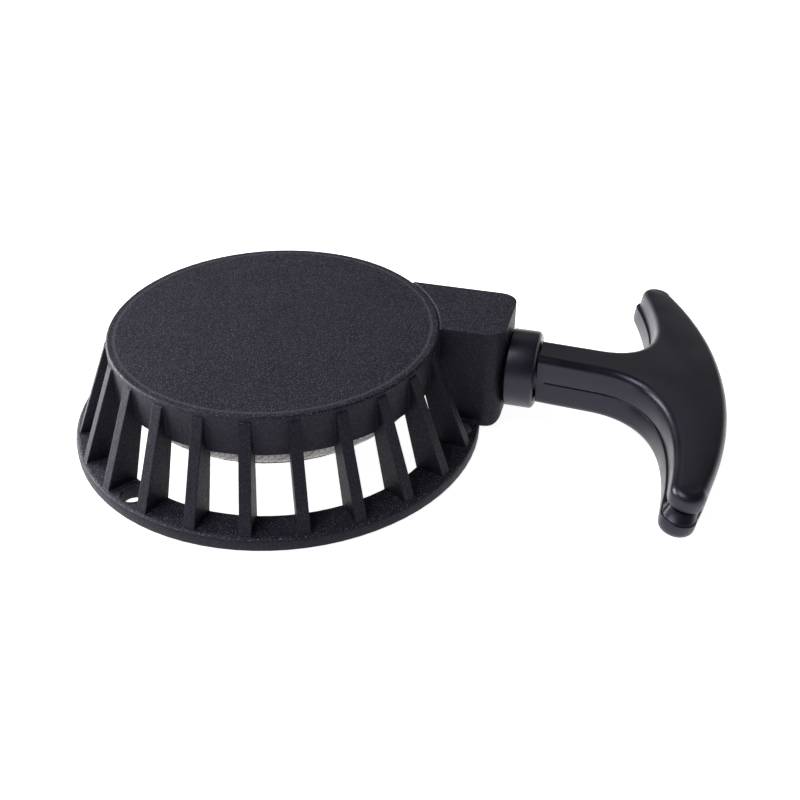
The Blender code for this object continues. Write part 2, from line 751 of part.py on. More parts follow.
def build_feed():
    """Rope from the reel, straight to the eyelet and out of the block."""
    angle = tangent_angle()
    x, y = polar(ROPE_OUTER_RADIUS, angle)
    dx, dy = polar(1.0, angle - 90.0)
    end = Vector((BLOCK_END_X - 4.0, OUTLET_Y, OUTLET_Z))
    start = Vector((x + 0.9 * dx, y + 0.9 * dy, GROOVE_Z))
    path = []
    for i in range(9):
        path.append(tuple(start.lerp(end, 0.93 * i / 8)))
    bend = Vector((BLOCK_END_X - 3.0, OUTLET_Y, OUTLET_Z))
    out = Vector((BLOCK_END_X + 4.2, OUTLET_Y, OUTLET_Z))
    path.append(tuple(bend.lerp(Vector(path[-1]), 0.35)))
    path.append(tuple(bend.lerp(out, 0.2)))
    path.append(tuple(out))
    return finish(tube("feed", path, ROPE_RADIUS), "rope_feed", "rope_white")


# ---- pawls and friction plate -----------------------------------------------------
def pawl_frame(side):
    """Pivot angle of a pawl, in degrees."""
    return PAWL_BASE_DEG + 180.0 * side


def pawl_outline():
    """Pawl seen from above, pivot at the origin, nose towards -Y."""
    points = []
    for i in range(13):
        points.append(polar(4.3, -10.0 + 200.0 * i / 12))
    points.append((-3.2, -6.0))
    points.append((-1.4, -PAWL_LENGTH + 1.0))
    points.append((0.2, -PAWL_LENGTH))
    points.append((3.6, -PAWL_LENGTH + 0.6))
    points.append((3.9, -6.0))
    return points


def build_pawls():
    """Two hinged pawls with drive studs."""
    for side in range(2):
        pawl = prism("pawl", pawl_outline(), PAWL_BOTTOM_Z, PAWL_TOP_Z)
        soften(pawl, 0.3, 40.0, 1)
        cut(pawl, cylinder("eye", (0, 0), PAWL_PIN_RADIUS + 0.1, 0.0, 30.0, 20))
        stud = cylinder(
            "stud", (0.0, -PAWL_STUD_REACH), PAWL_STUD_RADIUS, PLATE_BOTTOM_Z - 0.4, PAWL_BOTTOM_Z + 1.0, 12
        )
        add(pawl, stud)
        x, y = polar(PAWL_PIVOT_RADIUS, pawl_frame(side))
        turn = Matrix.Rotation(math.radians(pawl_frame(side)), 4, "Z")
        pawl.data.transform(Matrix.Translation((x * MM, y * MM, 0.0)) @ turn)
        finish(pawl, f"pawl_{side + 1}", "zinc_steel", origin=(x, y, PAWL_BOTTOM_Z))


def stud_place(share):
    """Stud radius and angle about the reel axis for a share of the swing."""
    swing = math.radians(PAWL_SWING_DEG * share)
    x = PAWL_PIVOT_RADIUS + PAWL_STUD_REACH * math.sin(swing)
    y = -PAWL_STUD_REACH * math.cos(swing)
    return math.hypot(x, y), math.degrees(math.atan2(y, x))


def build_friction_plate():
    """Plate whose slanted slots throw the pawls out when it is held back."""
    plate = cylinder("plate", (0, 0), POST_RADIUS + 5.5, PLATE_BOTTOM_Z, PLATE_TOP_Z, 40)
    for side in range(2):
        base = pawl_frame(side)
        arm = [polar(10.5, base + 14.0), polar(10.5, base - 62.0)]
        for i in range(9):
            arm.append(polar(27.0, base - 42.0 + 32.0 * i / 8))
        add(plate, prism("arm", arm, PLATE_BOTTOM_Z, PLATE_TOP_Z))
    cut(plate, cylinder("bore", (0, 0), POST_RADIUS + 0.5, PLATE_BOTTOM_Z - 1, PLATE_TOP_Z + 1, 40))
    for side in range(2):
        base = pawl_frame(side)
        centres = []
        for i in range(9):
            share = -0.4 + 1.8 * i / 8
            radius, angle = stud_place(share)
            centres.append(polar(radius, base + angle - PLATE_SWING_DEG * share))
        slot = strip("slot", centres, 2 * PAWL_STUD_RADIUS + 0.6, PLATE_BOTTOM_Z - 1, PLATE_TOP_Z + 1)
        cut(plate, slot)
    return finish(plate, "friction_plate", "zinc_steel")


def build_pawl_springs():
    """Small wire springs coiled round the pawl posts."""
    wire = 0.24
    coil = PAWL_PIN_RADIUS + 0.3 + wire
    middle = (PLATE_TOP_Z + PAWL_BOTTOM_Z) / 2
    for side in range(2):
        path = [(-coil - 0.3, 3.6, middle - 0.45)]
        turns = 1.25
        steps = 24
        for i in range(steps + 1):
            x, y = polar(coil, 180.0 + 360.0 * turns * i / steps)
            path.append((x, y, middle - 0.45 + 0.9 * i / steps))
        x, y = polar(coil, 180.0 + 360.0 * turns)
        path.append((x + 3.6, y + 0.3, middle + 0.45))
        spring = tube("pawl spring", path, wire, 5)
        x, y = polar(PAWL_PIVOT_RADIUS, pawl_frame(side))
        turn = Matrix.Rotation(math.radians(pawl_frame(side)), 4, "Z")
        spring.data.transform(Matrix.Translation((x * MM, y * MM, 0.0)) @ turn)
        finish(spring, f"pawl_spring_{side + 1}", "spring_steel", 60.0)


def build_wave_washer():
    """Waved ring that loads the friction plate."""
    middle = (WASHER_TOP_Z + PLATE_BOTTOM_Z) / 2
    swing = (PLATE_BOTTOM_Z - WASHER_TOP_Z) / 2 - 0.32
    inner = POST_RADIUS + 1.0
    outer = POST_RADIUS + 3.2
    steps = 36
    vertices = []
    for i in range(steps):
        angle = 360.0 * i / steps
        z = middle + swing * math.cos(math.radians(3 * angle))
        for radius, lift in ((inner, -0.18), (outer, -0.18), (outer, 0.18), (inner, 0.18)):
            x, y = polar(radius, angle)
            vertices.append((x, y, z + lift))
    faces = []
    for i in range(steps):
        a = 4 * i
        b = 4 * ((i + 1) % steps)
        for s in range(4):
            t = (s + 1) % 4
            faces.append([a + s, b + s, b + t, a + t])
    return finish(mesh_object("wave", vertices, faces), "wave_washer", "spring_steel", 50.0)


def build_retaining_washer():
    """Flat washer under the post end."""
    profile = [
        (2.3, WASHER_BOTTOM_Z),
        (POST_RADIUS + 3.4, WASHER_BOTTOM_Z),
        (POST_RADIUS + 3.6, WASHER_BOTTOM_Z + 0.2),
        (POST_RADIUS + 3.6, WASHER_TOP_Z),
        (2.3, WASHER_TOP_Z),
    ]
    return finish(lathe("washer", profile, 32), "retaining_washer", "zinc_steel")


def build_centre_screw():
    """Pan head screw into the post, with a cross recess."""
    top = SCREW_HEAD_TOP_Z
    low = SCREW_HEAD_BOTTOM_Z
    profile = [
        (0.0, low),
        (2.6, low),
        (3.9, low + 0.6),
        (4.5, low + 1.6),
        (4.5, top),
        (1.9, top),
        (1.9, TOP_INNER_Z - 8.0),
        (1.4, TOP_INNER_Z - 7.4),
        (0.0, TOP_INNER_Z - 7.4),
    ]
    screw = lathe("screw", profile, 28)
    cut(screw, box("cross", (-2.2, -0.45, low - 1.0), (2.2, 0.45, low + 1.3)))
    cut(screw, box("cross", (-0.45, -2.2, low - 1.0), (0.45, 2.2, low + 1.3)))
    return finish(screw, "centre_screw", "zinc_steel")


# ---- handle, built along +X from its seat ---------------------------------------------
def handle_place():
    """Transform from the handle's own frame to the assembly."""
    seat = Matrix.Translation(Vector(SEAT) * MM)
    yaw = Matrix.Rotation(math.radians(HANDLE_YAW_DEG), 4, "Z")
    droop = Matrix.Rotation(math.radians(HANDLE_DROOP_DEG), 4, "Y")
    return seat @ yaw @ droop


def back_edge(b):
    """Outer curve of the grip."""
    return GRIP_BACK - GRIP_BACK_RADIUS + math.sqrt(GRIP_BACK_RADIUS**2 - b * b)


def grip_half(length):
    """Plan of the grip's +Y half: its tip, and its side from neck to tip."""
    tip_b = length - TIP_RADIUS
    tip_a = back_edge(tip_b) - TIP_RADIUS * 1.02
    side = []
    for i in range(4):
        t = i / 4
        side.append((NECK_START + (NECK_END - NECK_START) * t, NECK_HALF_WIDTH - 0.3 + 0.5 * t))
    p0 = Vector((NECK_END, NECK_HALF_WIDTH + 0.2))
    p1 = Vector((NECK_END + 14.7, NECK_HALF_WIDTH + 0.9))
    p2 = Vector((NECK_END + 23.7, 20.0))
    p3 = Vector((tip_a - TIP_RADIUS * 0.98, tip_b - 1.0))
    for i in range(17):
        t = i / 16
        u = 1.0 - t
        mix = p0 * u**3 + p1 * 3 * u * u * t + p2 * 3 * u * t * t + p3 * t**3
        side.append((mix.x, mix.y))
    tip = []
    for i in range(1, 9):
        dx, dy = polar(TIP_RADIUS, -8.0 + 190.0 * i / 9)
        tip.append((tip_a + dx, tip_b + dy))
    return tip, side


def grip_outline(inset, length):
    """Anticlockwise plan outline; point i lies across the grip from its mirror."""
    tip, side = grip_half(length)
    neck_count = 5
    across = [0.0, 0.6, 1.2]
    for i, (a, b) in enumerate(side):
        across.append(1.8 + 1.1 * i if i < 4 else b)
    room = length - TIP_RADIUS - across[-1]
    last = across[-1]
    for i in range(len(tip)):
        across.append(last + room * (i + 1) / len(tip))
    back = [(back_edge(b), b) for b in across]
    side = side + list(reversed(tip))
    side_count = len(side)
    chain = side + list(reversed(back))
    chain += [(a, -b) for a, b in back[1:]]
    chain += [(a, -b) for a, b in reversed(side)]
    chain = inset_chain(chain, inset)
    upper = chain[:side_count]
    lower = chain[-side_count:]
    middle = chain[side_count:-side_count]
    neck = []
    for i in range(1, neck_count + 1):
        t = i / (neck_count + 1)
        (ax, ay), (bx, by) = upper[0], lower[-1]
        neck.append((ax + (bx - ax) * t, ay + (by - ay) * t))
    return list(reversed(middle)) + list(reversed(upper)) + neck + list(reversed(lower))


def inset_chain(chain, inset):
    """Move an open clockwise chain inwards along its normals."""
    moved = []
    for i, (x, y) in enumerate(chain):
        ax, ay = chain[max(i - 1, 0)]
        bx, by = chain[min(i + 1, len(chain) - 1)]
        dx, dy = bx - ax, by - ay
        size = math.hypot(dx, dy)
        if size < 1e-9:
            moved.append((x, y))
            continue
        moved.append((x + inset * dy / size, y - inset * dx / size))
    return moved


def crown(b):
    """Half thickness of the grip at a distance from its middle."""
    share = min(abs(b) / LOWER_HALF_LENGTH, 1.0)
    drop = (GRIP_THICKNESS - GRIP_TIP_THICKNESS) / 2
    return GRIP_THICKNESS / 2 - drop * share * share


def grip_solid(name, inset, low, shrink, edge, length):
    """Half grip above its parting plane, with a rounded top edge."""
    base = grip_outline(inset, length)
    count = len(base)
    loops = [[(a, b, low) for a, b in base]]
    steps = 3
    for i in range(steps + 1):
        turn = math.pi / 2 * i / steps
        back = edge * (1.0 - math.cos(turn))
        rim = grip_outline(inset + back, length)
        ring = []
        for (a, b), (_, b0) in zip(rim, base):
            ring.append((a, b, crown(b0) - shrink - edge * (1.0 - math.sin(turn))))
        loops.append(ring)
    vertices = []
    for ring in loops:
        vertices += ring
    faces = []
    for j in range(len(loops) - 1):
        for i in range(count):
            k = (i + 1) % count
            a = j * count
            faces.append([a + i, a + k, a + count + k, a + count + i])
    half = count // 2
    top = (len(loops) - 1) * count
    for start in (0, top):
        for i in range(half - 1):
            faces.append([start + i, start + i + 1, start + count - 2 - i, start + count - 1 - i])
    return mesh_object(name, vertices, faces)


def slot_cutter(length):
    """Relief that opens a groove between the shells round the back and tips."""
    ring = prism("relief", grip_outline(-4.0, length), -1.0, SLOT_HALF)
    cut(ring, prism("inside", grip_outline(SHELL_WALL + 0.9, length), -5.0, 5.0))
    keep(ring, prism("mask", slot_region(), -5.0, 5.0))
    return ring


def slot_region():
    """Plan region behind the grip's middle line and past its tips."""
    reach = UPPER_HALF_LENGTH
    front = NECK_END + 26.0
    points = [(front, -reach * 0.55), (front, reach * 0.55)]
    points += [(front - 9.0, reach * 0.88), (front - 26.0, reach * 0.93)]
    points += [(front - 26.0, reach * 1.4), (front + 40.0, reach * 1.4)]
    points += [(front + 40.0, -reach * 1.4), (front - 26.0, -reach * 1.4)]
    points += [(front - 26.0, -reach * 0.93), (front - 9.0, -reach * 0.88)]
    return points


def knot_room():
    """Start and end of the knot pocket along the handle."""
    start = NECK_START + 9.0
    return start, start + 10.3


def hollow_start():
    """Plane behind which the shells are hollow."""
    return NECK_END + 3.0


def neck_cutter():
    """Box that trims the neck square with the collar's mouth."""
    cutter = box("trim", (COLLAR_END_X - 60.0, -60.0, -60.0), (COLLAR_END_X + GAP, 90.0, 90.0))
    cutter.data.transform(handle_place().inverted())
    return cutter


def build_shells():
    """Upper and lower grip shells, hollow, with a spigot in the collar."""
    front = hollow_start()
    halves = (
        (1.0, "grip_upper_shell", UPPER_HALF_LENGTH),
        (-1.0, "grip_lower_shell", LOWER_HALF_LENGTH),
    )
    for side, name, length in halves:
        shell = grip_solid(name, 0.0, -1.0, 0.0, GRIP_EDGE, length)
        if side < 0:
            turn_over(shell)
        cut(shell, neck_cutter())
        if side < 0:
            turn_over(shell)
        profile = [
            (0.0, NECK_START - 1.9),
            (SPIGOT_RADIUS - 0.6, NECK_START - 1.9),
            (SPIGOT_RADIUS, NECK_START - 1.3),
            (SPIGOT_RADIUS, NECK_START + 5.5),
            (0.0, NECK_START + 5.5),
        ]
        add(shell, along_x(lathe("spigot", profile, 24), 0.0, 0.0))
        hollow = grip_solid("hollow", SHELL_WALL, -3.0, SHELL_WALL, 1.2, length)
        # The exact solver loses this intersection, so the manifold solver makes it.
        keep(hollow, box("front", (front, -90.0, -20.0), (front + 90.0, 90.0, 20.0)), "MANIFOLD")
        cut(shell, hollow)
        channel = cylinder("channel", (0, 0), ROPE_RADIUS + 0.35, -9.0, front + 4.0, 24)
        along_x(channel, 0.0, 0.0)
        low, high = knot_room()
        add(channel, box("pocket", (low, -4.6, -5.2), (high, 4.6, 5.2)))
        cut(shell, channel)
        cut(shell, slot_cutter(length))
        cut(shell, box("below", (-20.0, -90.0, -30.0), (120.0, 90.0, 0.06)))
        if side < 0:
            turn_over(shell)
        shell.data.transform(handle_place())
        finish(shell, name, "satin_black", 30.0)


def turn_over(made):
    """Mirror a solid in its parting plane."""
    made.data.transform(Matrix.Scale(-1.0, 4, (0.0, 0.0, 1.0)))
    made.data.flip_normals()
    return made


def build_grip_core():
    """Web between the shells that shows in the groove."""
    outline = grip_outline(SHELL_WALL + GAP, UPPER_HALF_LENGTH)
    core = prism("core", outline, -SLOT_HALF + 0.35, SLOT_HALF - 0.35)
    front = hollow_start() + GAP
    keep(core, box("front", (front, -90.0, -20.0), (front + 90.0, 90.0, 20.0)))
    core.data.transform(handle_place())
    return finish(core, "grip_core", "satin_black", 30.0)


def build_collar():
    """Round collar on the rope outlet that the handle's spigot rests in."""
    start = COLLAR_START_X
    end = COLLAR_END_X
    profile = [
        (3.6, start),
        (COLLAR_RADIUS - 1.0, start),
        (COLLAR_RADIUS, start + 0.6),
        (COLLAR_RADIUS, end - 1.2),
        (COLLAR_RADIUS - 0.3, end - 0.5),
        (COLLAR_RADIUS - 1.1, end),
        (COLLAR_BORE + 0.4, end),
        (COLLAR_BORE, end - 0.4),
        (COLLAR_BORE, start + COLLAR_FLOOR),
        (3.6, start + COLLAR_FLOOR),
    ]
    made = along_x(lathe("collar", profile, 48), OUTLET_Y, OUTLET_Z)
    return finish(made, "outlet_collar", "satin_black", 25.0)


def build_rope_lead():
    """Rope inside the handle, from its spigot to its knot."""
    low, high = knot_room()
    start = NECK_START - 1.7
    path = [(start + (low + 2.3 - start) * i / 6, 0.0, 0.0) for i in range(7)]
    made = tube("lead", path, ROPE_RADIUS)
    made.data.transform(handle_place())
    return finish(made, "rope_lead", "rope_white", 60.0)


def build_knot_washer():
    """Steel washer that the handle knot pulls against."""
    low, high = knot_room()
    profile = [
        (ROPE_RADIUS + 0.2, low + GAP),
        (4.1, low + GAP),
        (4.1, low + GAP + 1.2),
        (ROPE_RADIUS + 0.2, low + GAP + 1.2),
    ]
    made = along_x(lathe("washer", profile, 20), 0.0, 0.0)
    made.data.transform(handle_place())
    return finish(made, "knot_washer", "zinc_steel")


def build_handle_knot():
    """Knot in the handle."""
    low, high = knot_room()
    size = 3.4
    centre = (low + 2.3 + GAP + size + 0.2, 0.0, 0.0)
    made = knot("knot", Matrix.Rotation(math.pi / 2, 4, "Y"), centre, size)
    made.data.transform(handle_place())
    return finish(made, "rope_knot_handle", "rope_white", 60.0)


clear_scene()
build_housing()
build_eyelet()
build_mainspring()
build_keeper()
build_keeper_screws()
build_reel()
build_bushing()
build_winding()
build_reel_knot()
build_feed()
build_pawls()
build_pawl_springs()
build_friction_plate()
build_wave_washer()
build_retaining_washer()
build_centre_screw()
build_shells()
build_grip_core()
build_collar()
build_rope_lead()
build_knot_washer()
build_handle_knot()
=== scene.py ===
"""Finished look of a small-engine recoil starter: cast housing, wound rope and T-grip.

Lengths in the piece classes are millimetres; meshes are stored in metres. The
reel turns about Z, the flange rests on z = 0 and the rope is pulled towards +X.
"""

import json
import logging
import math
from dataclasses import dataclass, field
from enum import Enum

import bmesh
import bpy
from mathutils import Matrix, Vector

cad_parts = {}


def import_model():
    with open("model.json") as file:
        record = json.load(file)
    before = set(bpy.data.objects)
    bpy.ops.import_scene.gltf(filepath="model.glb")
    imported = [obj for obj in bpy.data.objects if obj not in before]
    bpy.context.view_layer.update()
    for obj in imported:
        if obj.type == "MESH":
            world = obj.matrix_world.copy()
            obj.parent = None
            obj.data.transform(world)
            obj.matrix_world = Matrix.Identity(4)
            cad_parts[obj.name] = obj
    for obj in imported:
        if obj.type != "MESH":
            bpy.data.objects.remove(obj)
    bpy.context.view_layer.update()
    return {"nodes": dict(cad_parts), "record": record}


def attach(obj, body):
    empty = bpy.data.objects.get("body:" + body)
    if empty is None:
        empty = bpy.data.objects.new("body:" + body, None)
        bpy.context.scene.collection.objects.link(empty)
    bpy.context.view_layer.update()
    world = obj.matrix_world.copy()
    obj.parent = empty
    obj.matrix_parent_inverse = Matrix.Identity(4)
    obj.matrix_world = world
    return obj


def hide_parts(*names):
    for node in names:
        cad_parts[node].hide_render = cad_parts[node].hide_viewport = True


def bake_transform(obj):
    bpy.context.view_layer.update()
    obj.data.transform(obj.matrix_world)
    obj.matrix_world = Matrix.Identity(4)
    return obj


LOG = logging.getLogger("recoil_starter")
MM = 0.001
Point = tuple[float, float, float]
Ring = list[Point]
COOL_GLOSS = (0.82, 0.78, 1.0, 1.0)


class Body(Enum):
    """Rigid groups of the starter that a piece can ride on."""

    HOUSING = "housing"
    REEL = "reel"
    PLATE = "plate"
    HANDLE = "handle"


class Slot(Enum):
    """Material slots of the starter's record."""

    CAST = "housing_cast"
    GRIP = "grip_plastic"
    REEL = "reel_nylon"
    ROPE = "rope"
    ZINC = "zinc_steel"
    SPRING = "spring_steel"
    BRONZE = "bronze"


# ---- shader bench ----------------------------------------------------------
class ShaderBench:
    """Small helper that lays out one material's nodes."""

    def __init__(self, name: str) -> None:
        """Make an empty material with its surface shader.

        Args:
            name: name of the material.
        """
        self.material = bpy.data.materials.new(name)
        self.material.use_nodes = True
        self.tree = self.material.node_tree
        self.surface = self.tree.nodes["Principled BSDF"]

    def node(self, kind: str, **settings: object) -> bpy.types.Node:
        """Add a node.

        Args:
            kind: Blender's node type, without its ShaderNode prefix.
            settings: node properties, or input values named with a leading in_.

        Returns:
            The new node.
        """
        made = self.tree.nodes.new("ShaderNode" + kind)
        for key, value in settings.items():
            if key.startswith("in_"):
                made.inputs[key[3:].replace("_", " ")].default_value = value
            else:
                setattr(made, key, value)
        return made

    def join(self, source: bpy.types.NodeSocket, target: bpy.types.NodeSocket) -> None:
        """Link two sockets."""
        self.tree.links.new(source, target)

    def set(self, socket: str, value: object) -> None:
        """Set a constant on the surface shader."""
        self.surface.inputs[socket].default_value = value

    def math(self, operation: str, first: object, second: object = 0.0) -> bpy.types.NodeSocket:
        """Arithmetic on sockets or numbers.

        Args:
            operation: Blender's name of the operation.
            first: socket or number.
            second: socket or number.

        Returns:
            The result's socket.
        """
        made = self.node("Math", operation=operation)
        for index, value in enumerate((first, second)):
            if isinstance(value, bpy.types.NodeSocket):
                self.join(value, made.inputs[index])
            else:
                made.inputs[index].default_value = float(value)
        return made.outputs[0]

    def noise(self, where: bpy.types.NodeSocket, scale: float, detail: float = 3.0) -> bpy.types.NodeSocket:
        """Fractal noise at a place.

        Args:
            where: coordinate socket.
            scale: cells per metre.
            detail: octaves.

        Returns:
            The noise value's socket.
        """
        made = self.node("TexNoise")
        made.inputs["Scale"].default_value = scale
        made.inputs["Detail"].default_value = detail
        self.join(where, made.inputs["Vector"])
        return made.outputs["Fac"]

    def ramp(
        self,
        value: bpy.types.NodeSocket,
        low: float,
        high: float,
        start: float = 0.0,
        end: float = 1.0,
    ) -> bpy.types.NodeSocket:
        """Remap a value between two limits, clamped.

        Args:
            value: socket to remap.
            low: value that becomes start.
            high: value that becomes end.
            start: first result.
            end: last result.

        Returns:
            The remapped socket.
        """
        made = self.node("MapRange")
        for key, number in (("From Min", low), ("From Max", high), ("To Min", start), ("To Max", end)):
            made.inputs[key].default_value = number
        self.join(value, made.inputs["Value"])
        return made.outputs["Result"]

    def blend(self, share: bpy.types.NodeSocket, first: object, second: object) -> bpy.types.NodeSocket:
        """Mix two colours.

        Args:
            share: how much of the second.
            first: socket or colour.
            second: socket or colour.

        Returns:
            The mixed colour's socket.
        """
        made = self.node("Mix", data_type="RGBA")
        self.join(share, made.inputs["Factor"])
        for index, value in ((6, first), (7, second)):
            if isinstance(value, bpy.types.NodeSocket):
                self.join(value, made.inputs[index])
            else:
                made.inputs[index].default_value = (*value, 1.0)
        return made.outputs[2]

    def relief(
        self,
        height: bpy.types.NodeSocket,
        depth: float,
        edge: float = 0.0,
        strength: float = 1.0,
    ) -> None:
        """Bump the surface, over softened edges.

        Args:
            height: height from 0 to 1.
            depth: depth of the relief in metres.
            edge: radius in metres that sharp edges are eased by.
            strength: strength of the bump.
        """
        bump = self.node("Bump")
        bump.inputs["Distance"].default_value = depth
        bump.inputs["Strength"].default_value = strength
        self.join(height, bump.inputs["Height"])
        if edge > 0.0:
            eased = self.node("Bevel", samples=6)
            eased.inputs["Radius"].default_value = edge
            self.join(eased.outputs["Normal"], bump.inputs["Normal"])
        self.join(bump.outputs["Normal"], self.surface.inputs["Normal"])

    def place(self) -> bpy.types.NodeSocket:
        """Coordinates fixed to the object, in metres."""
        return self.node("TexCoord").outputs["Object"]


# ---- finishes ------------------------------------------------------------------
@dataclass(frozen=True)
class CastCoat:
    """Coarse black coat on the alloy casting: lighter grains, painted glints, a painted highlight ring near
    the drum's top and painted shade on upright faces.
    """

    name: str = "coarse_cast_coat"
    shade: tuple[float, float, float] = (0.0060, 0.0054, 0.0092)
    grain_shade: tuple[float, float, float] = (0.017, 0.0155, 0.025)
    painted_glint_colour: tuple[float, float, float] = (0.22, 0.21, 0.25)
    painted_side_shade: tuple[float, float, float] = (0.0016, 0.0014, 0.0025)
    painted_rim_highlight: tuple[float, float, float] = (0.060, 0.057, 0.074)
    grain: float = 1900.0
    rim_line: float = 0.0476
    grain_depth: float = 0.00022
    edge: float = 0.0006

    def make(self) -> bpy.types.Material:
        """Build the material.

        Returns:
            The finish.
        """
        bench = ShaderBench(self.name)
        where = bench.place()
        sand = bench.noise(where, self.grain, 4.0)
        lumps = bench.noise(where, self.grain * 0.28, 2.0)
        cloud = bench.noise(where, 60.0, 2.0)
        spark = bench.noise(where, self.grain * 1.7, 1.0)
        facing = bench.node("NewGeometry").outputs["Normal"]
        split = bench.node("SeparateXYZ")
        bench.join(facing, split.inputs[0])
        # level is near 1 on faces that point up and smaller on upright ones; it scales the painted glints,
        # the painted highlight ring and the painted shade below.
        level = bench.ramp(split.outputs[2], 0.3, 0.9, 0.25, 1.0)
        # Painted glints: sparse bright specks painted into the base colour, dimmed on upright faces.
        glint = bench.math("MULTIPLY", bench.ramp(spark, 0.64, 0.71), level)
        tint = bench.blend(
            bench.ramp(cloud, 0.35, 0.65),
            self.shade,
            tuple(c * 1.45 for c in self.shade),
        )
        grains = bench.blend(bench.ramp(sand, 0.45, 0.75), tint, self.grain_shade)
        colour = bench.blend(glint, grains, self.painted_glint_colour)
        # Painted highlight: a light ring painted at rim_line from the axis, on faces that point up.
        place = bench.node("SeparateXYZ")
        bench.join(where, place.inputs[0])
        across = bench.math("MULTIPLY", place.outputs[0], place.outputs[0])
        along = bench.math("MULTIPLY", place.outputs[1], place.outputs[1])
        radius = bench.math("SQRT", bench.math("ADD", across, along))
        off = bench.math("ABSOLUTE", bench.math("SUBTRACT", radius, self.rim_line))
        line = bench.math("MULTIPLY", bench.ramp(off, 0.0002, 0.0006, 0.55, 0.0), level)
        # Painted shade: upright faces are darkened up to half way towards a near-black colour.
        shaded = bench.blend(bench.ramp(level, 0.25, 1.0, 0.5, 0.0), colour, self.painted_side_shade)
        lined = bench.blend(line, shaded, self.painted_rim_highlight)
        bench.join(lined, bench.surface.inputs["Base Color"])
        rough = bench.ramp(sand, 0.3, 0.7, 0.62, 0.42)
        rough = bench.math("SUBTRACT", rough, bench.math("MULTIPLY", glint, 0.22))
        bench.join(rough, bench.surface.inputs["Roughness"])
        bench.set("Specular IOR Level", 0.2)
        bench.set("Specular Tint", COOL_GLOSS)
        height = bench.math("ADD", bench.math("MULTIPLY", sand, 0.7), bench.math("MULTIPLY", lumps, 0.6))
        bench.relief(height, self.grain_depth, self.edge, 0.8)
        return bench.material


@dataclass(frozen=True)
class SatinPlastic:
    """Smooth black moulded plastic with a soft sheen."""

    name: str = "satin_black_plastic"
    shade: tuple[float, float, float] = (0.0054, 0.0047, 0.0082)
    roughness: float = 0.33
    edge: float = 0.00035

    def make(self) -> bpy.types.Material:
        """Build the material.

        Returns:
            The finish.
        """
        bench = ShaderBench(self.name)
        where = bench.place()
        fine = bench.noise(where, 2600.0, 3.0)
        flow = bench.noise(where, 90.0, 3.0)
        colour = bench.blend(bench.ramp(flow, 0.4, 0.65), self.shade, tuple(c * 1.35 for c in self.shade))
        bench.join(colour, bench.surface.inputs["Base Color"])
        rough = bench.ramp(flow, 0.35, 0.7, self.roughness - 0.04, self.roughness + 0.07)
        scuff = bench.ramp(bench.noise(where, 500.0, 5.0), 0.6, 0.8, 0.0, 0.05)
        bench.join(bench.math("ADD", rough, scuff), bench.surface.inputs["Roughness"])
        bench.set("Specular IOR Level", 0.42)
        bench.set("Specular Tint", COOL_GLOSS)
        bench.set("Coat Weight", 0.03)
        bench.set("Coat Roughness", 0.22)
        bench.relief(fine, 0.00001, self.edge, 0.6)
        return bench.material


class Lay(Enum):
    """How a cord finish finds its place along the rope."""

    DRAWN = "drawn"
    WOUND = "wound"


@dataclass(frozen=True)
class BraidedCord:
    """White braided starter cord with a thin pinkish-grey tracer."""

    lay: Lay
    name: str = "braided_cord"
    white: tuple[float, float, float] = (0.93, 0.91, 0.89)
    tracer: tuple[float, float, float] = (0.50, 0.34, 0.36)
    dust: tuple[float, float, float] = (0.66, 0.64, 0.62)
    pitch: float = 0.0034
    strands: float = 3.0
    centre: tuple[float, float] = (0.0225, 0.0175)

    def _place(self, bench: ShaderBench) -> tuple[bpy.types.NodeSocket, bpy.types.NodeSocket]:
        """Length along the rope in metres and share of a turn round it.

        Args:
            bench: material being built.

        Returns:
            The two sockets.
        """
        if self.lay is Lay.WOUND:
            stored = bench.node("Attribute", attribute_name="rope_lay")
            split = bench.node("SeparateXYZ")
            bench.join(stored.outputs["Vector"], split.inputs[0])
            return split.outputs[0], split.outputs[1]
        split = bench.node("SeparateXYZ")
        bench.join(bench.place(), split.inputs[0])
        side = bench.math("SUBTRACT", split.outputs[1], self.centre[0])
        rise = bench.math("SUBTRACT", split.outputs[2], self.centre[1])
        angle = bench.math("ARCTAN2", rise, side)
        return split.outputs[0], bench.math("DIVIDE", angle, 2.0 * math.pi)

    def make(self) -> bpy.types.Material:
        """Build the material.

        Returns:
            The finish.
        """
        bench = ShaderBench(f"{self.name}_{self.lay.value}")
        along, around = self._place(bench)
        along = bench.math("MULTIPLY", along, 2.0 * math.pi / self.pitch)
        around = bench.math("MULTIPLY", around, 2.0 * math.pi * self.strands)
        right = bench.math("SINE", bench.math("ADD", along, around))
        left = bench.math("SINE", bench.math("SUBTRACT", along, around))
        over = bench.math("MULTIPLY", right, left)
        ridge = bench.math("MAXIMUM", bench.math("ABSOLUTE", right), bench.math("ABSOLUTE", left))
        weave = bench.math("ADD", bench.math("MULTIPLY", ridge, 0.75), bench.math("MULTIPLY", over, 0.25))
        fibre = bench.noise(bench.place(), 5200.0, 3.0)
        slow = bench.math("SINE", bench.math("ADD", bench.math("MULTIPLY", along, 0.5), around))
        mark = bench.ramp(slow, 0.80, 0.94, 0.0, 0.75)
        groove = bench.ramp(weave, 0.35, 0.8)
        # Painted shade: the braid is darkened in the grooves of its weave.
        painted_groove_shade = bench.blend(groove, tuple(c * 0.62 for c in self.white), self.white)
        dusty = bench.blend(bench.ramp(fibre, 0.35, 0.7, 0.0, 0.35), painted_groove_shade, self.dust)
        colour = bench.blend(mark, dusty, self.tracer)
        bench.join(colour, bench.surface.inputs["Base Color"])
        bench.join(bench.ramp(fibre, 0.3, 0.7, 0.72, 0.92), bench.surface.inputs["Roughness"])
        bench.set("Sheen Weight", 0.35)
        bench.set("Sheen Roughness", 0.5)
        bench.set("Specular IOR Level", 0.25)
        height = bench.math("ADD", weave, bench.math("MULTIPLY", fibre, 0.35))
        bench.relief(height, 0.0002, 0.0, 0.9)
        return bench.material


